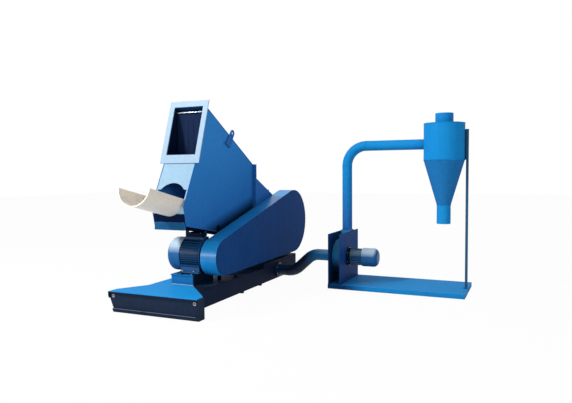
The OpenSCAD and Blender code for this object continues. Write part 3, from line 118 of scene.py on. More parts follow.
class Finish:
    def __init__(self, name):
        self.material = bpy.data.materials.new(name)
        self.material.use_nodes = True
        self.tree = self.material.node_tree
        self.surface = self.tree.nodes["Principled BSDF"]

    def add(self, kind, settings=None, sockets=None, out=0):
        node = self.tree.nodes.new(kind)
        for key, value in (settings or {}).items():
            setattr(node, key, value)
        for key, value in (sockets or {}).items():
            self.feed(node.inputs[key], value)
        return Signal(self, node.outputs[out])

    def feed(self, socket, value):
        if isinstance(value, Signal):
            self.tree.links.new(value.socket, socket)
        else:
            socket.default_value = value

    def place(self, scale):
        """The point on the piece, stretched along the three axes."""
        point = self.add("ShaderNodeTexCoord", out="Object")
        return self.add("ShaderNodeMapping", {}, {"Vector": point, "Scale": scale})

    def noise(self, scale, detail=3.0, rough=0.5, where=None):
        where = where or self.add("ShaderNodeTexCoord", out="Object")
        sockets = {"Vector": where, "Scale": scale, "Detail": detail, "Roughness": rough}
        return self.add("ShaderNodeTexNoise", {}, sockets)

    def axis(self, name, output="Object"):
        point = self.add("ShaderNodeTexCoord", out=output)
        return self.add("ShaderNodeSeparateXYZ", {}, {"Vector": point}, out=name)

    def open_air(self, reach):
        """1 out in the open, 0 deep in a corner, judged within this reach."""
        return self.add("ShaderNodeAmbientOcclusion", {"samples": 8}, {"Distance": reach}, out="AO")

    def blend(self, mask, under, over):
        def colour(c):
            return c if isinstance(c, Signal) else (*c, 1.0)
        return self.add(
            "ShaderNodeMix", {"data_type": "RGBA"}, {0: mask, 6: colour(under), 7: colour(over)}, out=2
        )

    def bump(self, height, strength, depth):
        return self.add("ShaderNodeBump", {}, {"Strength": strength, "Distance": depth, "Height": height})

    def finish(self, **sockets):
        for key, value in sockets.items():
            name = key.replace("_", " ")
            if isinstance(value, tuple):
                value = (*value, 1.0)
            self.feed(self.surface.inputs[name], value)
        return self.material


print("shader helpers:", Signal.__name__, "for values,", Finish.__name__, "for materials")

# %% [markdown]
# Workshop paint is never one colour. It is brushed or sprayed in uneven coats, it
# dulls where hands and plastic rub it, dust settles on what faces up, and rain and
# water run down it in faint streaks. One recipe with different colours covers every
# painted piece, and its orange-peel skin is a very fine bump. The recipe also paints
# every coat darker in its corners and recesses, as painted shade. Where one piece
# shows several tones, each tone is an area: a mask with two colours of its own, which
# is laid over the coat before the painted corner shade, the dust and the chips.

# %% Paint recipe
SETTLED_DUST = (0.22, 0.32, 0.42)
CORNER_SHADE_SHARE, CHIP_SHADE = 0.18, 0.35
CHIPS = 0.05
CORNER_REACH = 0.22
PEEL_DEPTH = 0.0012


def shaded(colour, share):
    """The same colour, darker."""
    return tuple(c * share for c in colour)


def painted(name, colour, faded, rough=0.60, shine=0.05, dust=0.1, peel=0.3, areas=()):
    """One coat of paint; areas are pairs of a mask maker and its two colours."""
    paint = Finish(name)
    cloudy = paint.noise(scale=1.7, detail=4.0, rough=0.6).step(0.32, 0.72)
    mottle = paint.noise(scale=24.0, detail=4.0, rough=0.65).step(0.35, 0.70)
    streaks = paint.place(scale=(26, 26, 1.6))
    runs = paint.noise(scale=1.0, detail=2.0, rough=0.5, where=streaks).step(0.45, 0.8)
    coat = paint.blend(cloudy * 0.35 + runs * 0.2 + mottle * 0.3, colour, faded)
    for area, shades in areas:
        coat = paint.blend(area(paint), coat, paint.blend(mottle * 0.5 + cloudy * 0.3, *shades))
    # Corners and recesses are painted darker: painted shade, where the light reaches less.
    corners = (1 - paint.open_air(CORNER_REACH)).step(0.25, 0.85)
    corner_shaded = paint.blend(corners * 0.75, coat, shaded(colour, CORNER_SHADE_SHARE))
    facing_up = paint.axis("Z", "Normal").step(0.35, 0.95)
    grit = paint.noise(scale=38.0, detail=5.0, rough=0.7).step(0.42, 0.75)
    settled = facing_up * grit * dust
    dusty = paint.blend(settled, corner_shaded, SETTLED_DUST)
    spots = paint.noise(scale=64.0, detail=4.0, rough=0.65).step(0.74 - CHIPS * 0.4, 0.78)
    worn = paint.blend(spots * CHIPS * 6.0, dusty, shaded(colour, CHIP_SHADE))
    skin = paint.noise(scale=260.0, detail=2.0) * 0.6 + paint.noise(scale=9.0, detail=2.0) * 1.6
    return paint.finish(
        Base_Color=worn,
        Roughness=cloudy * 0.12 + settled * 0.4 + (rough - 0.05),
        Normal=paint.bump(skin, peel, PEEL_DEPTH),
        Specular_IOR_Level=shine,
    )


print("paint recipe: painted_shade within", CORNER_REACH, "m of a corner, skin", PEEL_DEPTH, "m deep")

# %% [markdown]
# The machine came out of a few cans: a bright azure, a plain blue, two dark blues and
# a pale one. Each colour is a pair, the fresh tone and the faded one. The rim of the
# belt guard is glossier, because sleeves polish it, and the motor and the cyclone's
# post each have a blue of their own.

# %% Coats of one tone
AZURE = (0.006, 0.245, 0.62), (0.018, 0.31, 0.70)
BLUE = (0.019, 0.145, 0.47), (0.034, 0.205, 0.54)
DEEP = (0.005, 0.045, 0.185), (0.014, 0.090, 0.29)
NAVY = (0.0028, 0.0085, 0.032), (0.006, 0.018, 0.055)
PALE = (0.270, 0.41, 0.56), (0.350, 0.49, 0.62)
MOTOR_BLUE = (0.006, 0.060, 0.19), (0.016, 0.11, 0.28)
POST_BLUE = (0.020, 0.080, 0.165), (0.040, 0.13, 0.23)

azure = painted("azure_paint", *AZURE)
rim_coat = painted("guard_rim_paint", *AZURE, rough=0.30, shine=0.40, peel=0.15)
blue = painted("blue_paint", *BLUE, rough=0.55)
deep = painted("deep_blue_paint", *DEEP, rough=0.55, shine=0.04)
navy = painted("navy_paint", *NAVY, rough=0.55, shine=0.04)
pale = painted("pale_blue_paint", *PALE, rough=0.45, shine=0.2)
motor_coat = painted("motor_paint", *MOTOR_BLUE, rough=0.36, shine=0.2, peel=0.4)
post_coat = painted("post_paint", *POST_BLUE)
plain_coats = [azure, rim_coat, blue, deep, navy, pale, motor_coat, post_coat]
print("coats of one tone:", [m.name for m in plain_coats])

# %% [markdown]
# The hopper shows most tones, and most of them are painted light and shade: a pale
# front plate where the light falls, a dark strip where the trough keeps the light off,
# a throat that the curtain shades, side walls painted brighter above and almost black
# behind the belt guard, and plates painted black where they face the floor. A mask
# maker takes the paint and returns a value from 0 to 1, from where a point lies and
# which way its face points. Its border is a pair: where the tone begins, and where it
# is there in full.

# %% The hopper's coat
# How squarely a face must point one way, 1 being exactly.
SQUARELY = 0.8, 0.9
# Borders in metres, and for the sloping ones their rise from front to back.
BAR_TOP = 0.962, 0.966
STRIP_FOOT = 0.965, 0.968
PLATE_FOOT = 1.06, 1.07
INLET_FOOT = 0.60, 0.61
WALL_INNER_FACE = 0.2065, 0.2085
THROAT_FOOT = 1.30, 1.50
BRIGHT_PART, BRIGHT_SLOPE = (0.75, 1.75), 0.12
GUARD_SHADE, GUARD_SLOPE, GUARD_HEIGHT = (0.0, 0.17), 0.2545, 0.571
PALE_FRONT = (0.34, 0.51, 0.62), (0.44, 0.61, 0.70)
LIT_BLUE = (0.040, 0.265, 0.70), (0.060, 0.32, 0.76)
BLACK = (0.003, 0.004, 0.010), (0.006, 0.009, 0.020)
DULL_BLUE = (0.010, 0.080, 0.195), (0.016, 0.105, 0.240)


def faces_forward(paint, low=0.8, high=0.86):
    return (paint.axis("Y", "Normal") * -1).step(low, high)


def sloping_front(paint):
    """The hopper's own front plate: it faces forward and lies ahead of the inlet's foot, and is painted
    pale as painted light.
    """
    facing = faces_forward(paint, 0.86, 0.9)
    return facing * paint.axis("Z").step(*PLATE_FOOT) * (1 - paint.axis("Y").step(*INLET_FOOT))


def under_trough(paint):
    """The strip of the front plate that the trough keeps dark: painted shade."""
    height = paint.axis("Z")
    return faces_forward(paint) * height.step(*STRIP_FOOT) * (1 - height.step(*PLATE_FOOT))


def bar_face(paint):
    """The face of the bar at the foot of the front plate, duller than the sides."""
    return faces_forward(paint) * (1 - paint.axis("Z").step(*BAR_TOP))


def shaded_underside(paint):
    """The plates that face the floor, painted black as shade."""
    return (paint.axis("Z", "Normal") * -1).step(*SQUARELY)


def side_wall(paint):
    """Both side walls, seen from outside or inside."""
    across = paint.axis("X", "Normal")
    return (across * across).step(*SQUARELY)


def inside(paint):
    """The inner faces of the side walls, up in the throat behind the curtain, painted dark as its shade."""
    out = paint.axis("X")
    inner = 1 - out.math("ABSOLUTE", out).step(*WALL_INNER_FACE)
    return side_wall(paint) * inner * paint.axis("Z").step(*THROAT_FOOT)


def lit_upper_side(paint):
    """The upper part of the side walls, painted brighter as a painted highlight from above."""
    height = paint.axis("Z") - paint.axis("Y") * BRIGHT_SLOPE
    return side_wall(paint) * height.step(*BRIGHT_PART)


def behind_guard(paint):
    """The part of the right wall behind the belt guard, painted black as the guard's shade."""
    over = paint.axis("Z") - paint.axis("Y") * GUARD_SLOPE - GUARD_HEIGHT
    return paint.axis("X", "Normal").step(*SQUARELY) * (1 - over.step(*GUARD_SHADE))


hopper_areas = [
    (lit_upper_side, LIT_BLUE), (behind_guard, BLACK), (inside, NAVY), (shaded_underside, BLACK),
    (sloping_front, PALE_FRONT), (under_trough, NAVY), (bar_face, DULL_BLUE),
]
shell_coat = painted("hopper_paint", *BLUE, rough=0.55, shine=0.0, areas=hopper_areas)
print("tones of the hopper:", [area.__name__ for area, shades in hopper_areas])

# %% [markdown]
# Right of the motor, the deck and the pedestal are painted black: a painted shadow of
# the motor and the belt guard. The top of the front beam's foot carries a painted
# highlight in patches, and the two rounded motor cowls a painted highlight where they
# face up and forward.

# %% Coats of the base and the motors
SHADOW_BORDER = 0.137, 0.149
PEDESTAL_FRONT, SHADOW_SLOPE = 0.515, 0.94
BEAM_FOOT = 0.05, 0.06
LIP_HIGHLIGHT_SHARE = 0.30, 0.42
LIT_FACING = 0.62, 0.96
FAN_DISC_EDGE, FAN_DISC_SOFT = 1.456, 0.006
PEDESTAL_BLUE = (0.006, 0.150, 0.40), (0.016, 0.195, 0.46)
BEAM_BLACK = (0.009, 0.017, 0.040), (0.016, 0.030, 0.062)
LIP_HIGHLIGHT = (0.20, 0.27, 0.36), (0.34, 0.40, 0.48)
COWL_BLUE = (0.012, 0.100, 0.27), (0.030, 0.155, 0.37)
FAN_MOTOR_BLUE = (0.010, 0.085, 0.22), (0.022, 0.13, 0.31)
COWL_HIGHLIGHT = (0.46, 0.60, 0.72), (0.56, 0.69, 0.80)
FAN_MOTOR_HIGHLIGHT = (0.30, 0.46, 0.58), (0.40, 0.56, 0.68)


def left_of(place, soft):
    """A mask maker: everything on the low-X side of this place."""
    return lambda paint: 1 - paint.axis("X").step(place - soft, place + soft)


def drive_shadow(paint):
    """Deck and pedestal right of the motor, painted black as the shadow of the motor and the belt guard."""
    ahead = paint.axis("Y") - PEDESTAL_FRONT
    ahead = ahead.math("MINIMUM", ahead, 0.0)
    return (paint.axis("X") + ahead * SHADOW_SLOPE).step(*SHADOW_BORDER)


def lip_highlight(paint):
    """The top of the front beam's foot, with a painted highlight in patches."""
    facing = paint.axis("Z", "Normal").step(*SQUARELY)
    low = 1 - paint.axis("Z").step(*BEAM_FOOT)
    return facing * low * paint.noise(scale=9.0, detail=4.0, rough=0.6).step(*LIP_HIGHLIGHT_SHARE)


def lit_top(paint):
    """What faces up and forward on a rounded cowl, where it takes a painted highlight."""
    towards = paint.axis("Z", "Normal") * 0.85 - paint.axis("Y", "Normal") * 0.5
    return towards.step(*LIT_FACING)


deck_coat = painted("deck_paint", *AZURE, dust=0.04, areas=[(drive_shadow, BLACK)])
pedestal_coat = painted("pedestal_paint", *PEDESTAL_BLUE, areas=[(drive_shadow, BLACK)])
beam_coat = painted("beam_paint", *BEAM_BLACK, rough=0.55, areas=[(lip_highlight, LIP_HIGHLIGHT)])
# The motor cowls and the fan motor carry a painted highlight on what faces up and forward.
cowl_coat = painted("cowl_paint", *COWL_BLUE, rough=0.35, shine=0.10, areas=[(lit_top, COWL_HIGHLIGHT)])
fan_motor_coat = painted(
    "fan_motor_paint", *FAN_MOTOR_BLUE, rough=0.35, shine=0.10,
    areas=[(lit_top, FAN_MOTOR_HIGHLIGHT), (left_of(FAN_DISC_EDGE, FAN_DISC_SOFT), BLACK)],
)
base_coats = [deck_coat, pedestal_coat, beam_coat, cowl_coat, fan_motor_coat]
print("coats of the base and the motors:", [m.name for m in base_coats])

# %% [markdown]
# The fan stand is azure too, with painted light and shade on it: the start of the
# suction pipe is painted navy as the belt guard's shadow, the scroll's lower half is
# painted black as shade between the two plates, and the bend of the suction pipe and
# the top of the scroll carry a painted highlight where the light falls. The foot of
# the riser and the tray's front edge beside the fan plates are painted darker, and the
# cyclone's cone is darker than its barrel.

# %% Coats of the fan stand
PIPE_START, PIPE_START_SOFT = 0.96, 0.16
SCROLL_MIDDLE, SCROLL_MIDDLE_SOFT = 0.33, 0.06
RISER_MIDDLE, RISER_MIDDLE_SOFT = 1.15, 0.30
BESIDE_FAN, BESIDE_FAN_SOFT = 1.62, 0.15
SCROLL_TOP = 0.40, 0.56
BEND = 0.92, 1.10
CONE_FOOT, CONE_HEAD = (1.088, 1.092), (1.652, 1.656)
BEND_HIGHLIGHT = (0.20, 0.50, 0.72), (0.28, 0.57, 0.77)
BRIGHT_AZURE = (0.06, 0.42, 0.75), (0.10, 0.48, 0.80)
CONE_BLUE = (0.012, 0.165, 0.44), (0.024, 0.21, 0.50)


def below(height, soft):
    """A mask maker: everything lower than this height."""
    return lambda paint: 1 - paint.axis("Z").step(height - soft, height + soft)


def top_of_scroll(paint):
    """The scroll's upper rim, where the light falls between the two plates."""
    return paint.axis("Z").step(*SCROLL_TOP)


def top_of_bend(paint):
    """The upper bend of the suction pipe past the guard, with a painted highlight where it faces up."""
    return lit_top(paint) * paint.axis("X").step(*BEND)


def cone_only(paint):
    """The cyclone's cone, between the spout and the barrel."""
    height = paint.axis("Z")
    return height.step(*CONE_FOOT) * (1 - height.step(*CONE_HEAD))


def front_near_fan(paint):
    """The front edge of the stand's tray beside the fan plates."""
    return faces_forward(paint, *SQUARELY) * left_of(BESIDE_FAN, BESIDE_FAN_SOFT)(paint)


# The pipe's start is painted navy as the belt guard's shadow, and its bend carries a painted highlight.
pipe_coat = painted(
    "pipe_paint", *AZURE, rough=0.40, shine=0.20,
    areas=[(left_of(PIPE_START, PIPE_START_SOFT), NAVY), (top_of_bend, BEND_HIGHLIGHT)],
)
# The scroll's lower half is painted black as shade, and its top carries a painted highlight.
scroll_coat = painted(
    "scroll_paint", *AZURE, rough=0.40, shine=0.20,
    areas=[(below(SCROLL_MIDDLE, SCROLL_MIDDLE_SOFT), BLACK), (top_of_scroll, BRIGHT_AZURE)],
)
riser_coat = painted("riser_paint", *AZURE, areas=[(below(RISER_MIDDLE, RISER_MIDDLE_SOFT), BLUE)])
cyclone_coat = painted("cyclone_paint", *AZURE, areas=[(cone_only, CONE_BLUE)])
tray_coat = painted("tray_paint", *AZURE, areas=[(front_near_fan, DEEP)])
stand_coats = [pipe_coat, scroll_coat, riser_coat, cyclone_coat, tray_coat]
print("coats of the fan stand:", [m.name for m in stand_coats])

# %% [markdown]
# Turned and ground steel shows fine lines along the way the tool went, and a thin
# film of oil that collects dark dust. The feed trough is raw sheet: warm grey mill
# scale with rub marks along its length. The curtain is black rubber with a blue cast,
# scuffed along its strips.

# %% Bare metals and rubber
CLEAN_STEEL, OILY_STEEL = (0.50, 0.51, 0.53), (0.20, 0.18, 0.16)
SHEET_LIGHT, SHEET_WARM = (0.92, 0.82, 0.69), (0.82, 0.73, 0.61)
SHEET_FLECK = (0.55, 0.49, 0.42)
RUBBER_DARK, RUBBER_SCUFFED = (0.006, 0.016, 0.055), (0.012, 0.035, 0.10)

steel = Finish("ground_steel")
lines = steel.noise(scale=1.0, detail=3.0, rough=0.6, where=steel.place(scale=(14, 240, 240)))
film = steel.noise(scale=11.0, detail=4.0, rough=0.6).step(0.45, 0.75)
steel_mat = steel.finish(
    Base_Color=steel.blend(film * 0.6, CLEAN_STEEL, OILY_STEEL),
    Metallic=1.0,
    Roughness=lines * 0.2 + film * 0.15 + 0.22,
    Normal=steel.bump(lines, strength=0.25, depth=0.0004),
)

sheet = Finish("raw_sheet")
rubs = sheet.noise(scale=1.0, detail=4.0, rough=0.6, where=sheet.place(scale=(60, 3.0, 60)))
scale_spots = sheet.noise(scale=6.0, detail=5.0, rough=0.65).step(0.4, 0.75)
flecks = sheet.noise(scale=46.0, detail=4.0, rough=0.7).step(0.45, 0.7)
warm = sheet.blend(scale_spots * 0.5, SHEET_LIGHT, SHEET_WARM)
sheet_mat = sheet.finish(
    Base_Color=sheet.blend(flecks * 0.25, warm, SHEET_FLECK),
    Metallic=0.1,
    Roughness=rubs * 0.25 + 0.42,
    Normal=sheet.bump(rubs, strength=0.3, depth=0.0008),
)

rubber = Finish("black_rubber")
along_strips = rubber.place(scale=(40, 40, 5))
scuffs = rubber.noise(scale=1.0, detail=4.0, rough=0.6, where=along_strips).step(0.5, 0.8)
rubber_mat = rubber.finish(
    Base_Color=rubber.blend(scuffs * 0.5, RUBBER_DARK, RUBBER_SCUFFED),
    Roughness=scuffs * 0.15 + 0.6,
    Normal=rubber.bump(rubber.noise(scale=180.0, detail=3.0), strength=0.4, depth=0.0008),
    Specular_IOR_Level=0.06,
)
print("bare finishes:", steel_mat.name, sheet_mat.name, rubber_mat.name)

# %% [markdown]
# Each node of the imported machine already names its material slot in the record, so
# the finishes go on by slot: the shapes stay untouched. Then the pieces that have a
# coat of their own get it.

# %% Put the finishes on the machine
FINISH_OF = {
    "azure_paint": azure, "blue_paint": blue, "navy_paint": navy, "pale_blue_paint": pale,
    "motor_paint": motor_coat, "steel": steel_mat, "bare_sheet": sheet_mat, "rubber": rubber_mat,
}
REPAINTED = {
    "hopper_shell": shell_coat, "hopper_legs": navy, "flange_bolts": blue,
    "front_beam": beam_coat, "deck_plate": deck_coat, "motor_pedestal": pedestal_coat,
    "motor_terminal_box": navy, "motor_fan_cowl": cowl_coat,
    "guard_cover": deep, "guard_rim": rim_coat,
    "suction_pipe": pipe_coat, "stand_base": tray_coat, "fan_scroll": scroll_coat,
    "fan_inlet_plate": deep, "fan_motor_plate": deep,
    "fan_motor": fan_motor_coat, "fan_motor_cowl": cowl_coat,
    "conveying_pipe": riser_coat, "cyclone_body": cyclone_coat, "cyclone_post": post_coat,
}


def dress(node_name, material):
    for place in nodes[node_name].material_slots:
        place.material = material


for subpart in frame["record"]["subparts"]:
    dress(subpart["node"], FINISH_OF[subpart["material_slot"]])
for node_name, coat in REPAINTED.items():
    dress(node_name, coat)

# %% [markdown]
# Small turned parts, such as a bolt head, a washer or a cable gland, could be lathed
# with a screw modifier or built as rings of points. Here they are made as by hand: a
# filled circle is extruded upwards again and again, and each new ring is scaled to its
# radius. That closes the form at both ends and leaves few faces.


# %% Tools for making a master
def start_fresh():
    if bpy.context.object and bpy.context.object.mode != "OBJECT":
        bpy.ops.object.mode_set(mode="OBJECT")
    bpy.ops.object.select_all(action="DESELECT")


def edit_all(mode="FACE"):
    """Open the active piece in edit mode with everything selected."""
    bpy.ops.object.mode_set(mode="EDIT")
    bpy.ops.mesh.select_mode(type=mode)
    bpy.ops.mesh.select_all(action="SELECT")


def close_up(obj, smooth_angle=40):
    """Merge doubles, turn normals outward and leave edit mode."""
    bpy.ops.mesh.select_all(action="SELECT")
    bpy.ops.mesh.remove_doubles(threshold=1e-6)
    bpy.ops.mesh.normals_make_consistent(inside=False)
    bpy.ops.object.mode_set(mode="OBJECT")
    bpy.ops.object.shade_smooth_by_angle(angle=math.radians(smooth_angle))
    return obj


def selected_middle():
    mesh = bmesh.from_edit_mesh(bpy.context.object.data)
    spots = [v.co for v in mesh.verts if v.select]
    return sum(spots, Vector()) / len(spots)


def pushed(height, factor):
    """Extrude what is selected along Z and then scale the new ring about its middle."""
    bpy.ops.mesh.extrude_region_move(TRANSFORM_OT_translate={"value": (0, 0, height)})
    if factor != 1:
        bpy.ops.transform.resize(value=(factor, factor, 1), center_override=selected_middle())


def turned(name, profile, sides=24):
    """A closed turned form: a filled ring, pushed up through (radius, height) rings."""
    start_fresh()
    radius, height = profile[0]
    bpy.ops.mesh.primitive_circle_add(
        vertices=sides, radius=radius, fill_type="NGON", location=(0, 0, height)
    )
    obj = bpy.context.object
    obj.name = name
    bpy.ops.object.transform_apply(location=True)
    edit_all()
    for next_radius, next_height in profile[1:]:
        pushed(next_height - height, next_radius / radius)
        radius, height = next_radius, next_height
    return close_up(obj)


print("master tools ready: extrude and scale, ring by ring")

# %% [markdown]
# A master is made once, standing along +Z at the origin. Its copies are placed by
# matrices and joined into one object for each joint of the machine, so that every
# group can ride its own body and keeps its place in its mesh.

# %% Tools for placing copies
UPWARD, FORWARD, BACKWARD = (0, 0, 1), (0, -1, 0), (0, 1, 0)
LEFTWARD, RIGHTWARD = (-1, 0, 0), (1, 0, 0)


def aimed(at, axis=UPWARD, size=1.0, length=None):
    """The matrix that puts a master built along +Z at a place, along an axis."""
    turn = Vector(UPWARD).rotation_difference(Vector(axis).normalized()).to_matrix().to_4x4()
    grow = Matrix.Diagonal((size, size, size if length is None else length, 1))
    return Matrix.Translation(Vector(at)) @ turn @ grow


def repeat(name, master, places, body, material):
    """Join copies of a master's mesh, one for each matrix, into one finished piece."""
    joined = bmesh.new()
    for place in places:
        copy = master.data.copy()
        copy.transform(place)
        joined.from_mesh(copy)
        bpy.data.meshes.remove(copy)
    mesh = bpy.data.meshes.new(name)
    joined.to_mesh(mesh)
    joined.free()
    mesh.materials.clear()
    mesh.materials.append(material)
    piece = bpy.data.objects.new(name, mesh)
    scene.collection.objects.link(piece)
    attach(piece, body)
    return piece


def ring(count, radius, first=0.0):
    """Evenly spread points on a circle, as pairs."""
    steps = (first + 2 * math.pi * k / count for k in range(count))
    return [(radius * math.cos(a), radius * math.sin(a)) for a in steps]


print("placing tools ready, a ring of 6 starts at", ring(6, 1.0)[0])

# %% [markdown]
# The fasteners come from one master: a hexagon head on a round washer. The head is
# extruded from a six-sided face, its top ring drawn in for the turned chamfer, and the
# washer is a disc with a bevelled rim. Both are given as rings of radius and height, at
# full size for a large bolt, and each joint takes the pair smaller or larger.

# %% Master bolt
WASHER_RINGS = [(0.0125, 0.0), (0.0130, 0.0006), (0.0130, 0.0020), (0.0124, 0.0026)]
HEAD_RINGS = [(0.0102, 0.0024), (0.0102, 0.0088), (0.0091, 0.0104), (0.0060, 0.0104), (0.0055, 0.0098)]
washer = turned("washer_master", WASHER_RINGS, sides=20)
hexagon = turned("hexagon_master", HEAD_RINGS, sides=6)
start_fresh()
washer.select_set(True)
hexagon.select_set(True)
bpy.context.view_layer.objects.active = hexagon
bpy.ops.object.join()
bolt = bpy.context.object
bolt.name = "bolt_master"


def bolted(name, places, axis=UPWARD, size=1.0, body="base", material=steel_mat):
    """One group of bolts that all point the same way."""
    return repeat(name, bolt, [aimed(place, axis, size) for place in places], body, material)


print("bolt master:", len(bolt.data.polygons), "faces")

# %% [markdown]
# The guard's cover is screwed on round its rim. The screws follow the same outline as
# the belt inside: two arcs and the two straight runs that touch them both. Centres are
# pairs of Y and Z.

# %% Guard screws
SMALL, BIG = Vector((0.730, 0.540)), Vector((2.745, 0.800))
INSET = 0.016
R_SMALL, R_BIG = 0.210 - INSET, 0.455 - INSET
GUARD_FACE_X = 0.450
SMALL_ARC_STEPS, BIG_ARC_STEPS, RUN_STEPS = 4, 8, 7
reach = BIG - SMALL
slope = math.atan2(reach.y, reach.x)
closing = math.asin((R_BIG - R_SMALL) / reach.length)
upper, lower = slope + math.pi / 2 + closing, slope - math.pi / 2 - closing


def at_angle(centre, radius, angle):
    return centre + radius * Vector((math.cos(angle), math.sin(angle)))


guard_spots = []
for k in range(SMALL_ARC_STEPS + 1):
    angle = upper + (lower + 2 * math.pi - upper) * k / SMALL_ARC_STEPS
    guard_spots.append(at_angle(SMALL, R_SMALL, angle))
for k in range(BIG_ARC_STEPS + 1):
    guard_spots.append(at_angle(BIG, R_BIG, lower + (upper - lower) * k / BIG_ARC_STEPS))
for k in range(1, RUN_STEPS):
    for angle in (upper, lower):
        start, end = at_angle(SMALL, R_SMALL, angle), at_angle(BIG, R_BIG, angle)
        guard_spots.append(start.lerp(end, k / RUN_STEPS))
screw_places = [(GUARD_FACE_X, *spot) for spot in guard_spots]
bolted("guard_screws", screw_places, RIGHTWARD, size=0.62, material=deep)
print("guard screws:", len(guard_spots))

# %% [markdown]
# The joints of the drive and the cutting chamber: motor feet and their slide rails,
# bearing caps, side plate and rear knife beam. Every place is read off the packed
# machine's own dimensions, in metres.

# %% Bolts of the drive and the chamber
MOTOR_Y, MOTOR_Z = 0.730, 0.560
ROTOR_Y, ROTOR_Z = 2.745, 0.800
FOOT_X = -0.0322, 0.1216
FOOT_REACH, FOOT_TOP_Z = 0.1655, 0.380
RAIL_FRONT_Y, RAIL_Z = 0.515, 0.353
CAP_X, CAP_RING = -0.319, 0.087
SIDE_PLATE_X = -0.235
SIDE_PLATE_SPOTS = [
    (2.02, 0.625), (2.15, 0.625), (2.28, 0.60), (2.32, 0.320),
    (2.60, 0.320), (2.88, 0.320), (2.975, 0.84), (2.975, 0.90),
]
REAR_BEAM_Y, REAR_BEAM_Z = 3.005, 0.870

feet = [(x, MOTOR_Y + side * FOOT_REACH, FOOT_TOP_Z) for x in FOOT_X for side in (-1, 1)]
bolted("motor_foot_bolts", feet, size=0.95)
bolted("slide_rail_screws", [(x, RAIL_FRONT_Y, RAIL_Z) for x in FOOT_X], FORWARD, size=0.5)
caps = [(CAP_X, ROTOR_Y + y, ROTOR_Z + z) for y, z in ring(6, CAP_RING)]
bolted("bearing_cap_bolts", caps, LEFTWARD, size=0.7)
bolted("side_plate_bolts", [(SIDE_PLATE_X, y, z) for y, z in SIDE_PLATE_SPOTS], LEFTWARD)
rear = [(x, REAR_BEAM_Y, REAR_BEAM_Z) for x in (-0.16, -0.08, 0.0, 0.08, 0.16)]
bolted("rear_knife_bolts", rear, BACKWARD, size=0.9)
print("bolts of the drive and the chamber:", len(feet) + len(caps) + len(SIDE_PLATE_SPOTS) + len(rear))

# %% [markdown]
# The joints of the fan stand: the pipe's two flanges, the fan motor's disc, the tie
# bolts through both fan plates, the riser's flange and the cyclone's lid.

# %% Bolts of the fan stand
FAN_Y, FAN_Z = 2.365, 0.378
PIPE_Z = 0.133
PIPE_RING, DISC_RING, TIE_RING, LID_RING = 0.090, 0.118, 0.292, 0.232
PAN_FLANGE_X, FAN_FLANGE_X = 0.387, 1.242
INLET_PLATE_X, MOTOR_PLATE_X, DISC_X = 1.250, 1.411, 1.425
RISER_X, RISER_Y = 1.3305, 2.564
RISER_FLANGE_Z = 0.718
CYCLONE_X, CYCLONE_Y = 2.650, 2.385
LID_Z = 2.111
HALF_PITCH = math.pi / 6

pan_ring = [(PAN_FLANGE_X, FAN_Y + y, PIPE_Z + z) for y, z in ring(6, PIPE_RING, HALF_PITCH)]
fan_ring = [(FAN_FLANGE_X, FAN_Y + y, FAN_Z + z) for y, z in ring(6, PIPE_RING, HALF_PITCH)]
flange_places = [aimed(spot, RIGHTWARD, size=0.6) for spot in pan_ring]
flange_places += [aimed(spot, LEFTWARD, size=0.6) for spot in fan_ring]
repeat("pipe_flange_bolts", bolt, flange_places, "base", steel_mat)
disc = [(DISC_X, FAN_Y + y, FAN_Z + z) for y, z in ring(6, DISC_RING, HALF_PITCH)]
bolted("fan_motor_bolts", disc, RIGHTWARD, size=0.55)
ties = [(FAN_Y + y, FAN_Z + z) for y, z in ring(9, TIE_RING, math.radians(10))]
tie_places = [aimed((MOTOR_PLATE_X, *tie), RIGHTWARD, size=0.6) for tie in ties]
tie_places += [aimed((INLET_PLATE_X, *tie), LEFTWARD, size=0.6) for tie in ties]
repeat("fan_tie_bolts", bolt, tie_places, "base", navy)
corners = [(RISER_X + x, RISER_Y + y, RISER_FLANGE_Z) for x in (-0.060, 0.060) for y in (-0.058, 0.058)]
bolted("riser_flange_bolts", corners, size=0.5)
lid = [(CYCLONE_X + x, CYCLONE_Y + y, LID_Z) for x, y in ring(10, LID_RING)]
bolted("cyclone_lid_bolts", lid, size=0.6, material=azure)
print("bolts of the fan stand:", len(flange_places) + len(disc) + len(tie_places) + len(corners) + len(lid))

# %% [markdown]
# The rear door is held shut by two large bolts on the side away from its hinges. They
# belong to the door, so they ride on its body and swing with it.

# %% Door latch
LATCH_X, LATCH_Y = 0.215, 3.013
latch = [(LATCH_X, LATCH_Y, z) for z in (0.42, 0.62)]
bolted("door_latch_bolts", latch, BACKWARD, size=1.2, body="door")
print("door latch:", len(latch), "bolts")

# %% [markdown]
# The motor's own fittings: a screwed lid and a cable gland on its terminal box, four
# screws that hold the fan cowl, and the eyebolt it is lifted by. The eye is a ring
# spun from a small circle, standing on a turned collar.

# %% Motor fittings
BOX_X, BOX_TOP_Z = 0.067, 0.816
COWL_X, COWL_RADIUS = -0.070, 0.1975
GLAND_AT = (-0.028, MOTOR_Y, 0.790)
EYEBOLT_X, COLLAR_Z, EYE_Z = 0.179, 0.760, 0.801
EYE_RADIUS, EYE_THICKNESS = 0.021, 0.0062
GLAND_RINGS = [
    (0.019, 0.0), (0.019, 0.010), (0.0155, 0.011), (0.0155, 0.020),
    (0.014, 0.026), (0.009, 0.029), (0.0085, 0.024),
]
COLLAR_RINGS = [(0.016, 0.0), (0.016, 0.004), (0.010, 0.007), (0.008, 0.014), (0.0075, 0.020)]

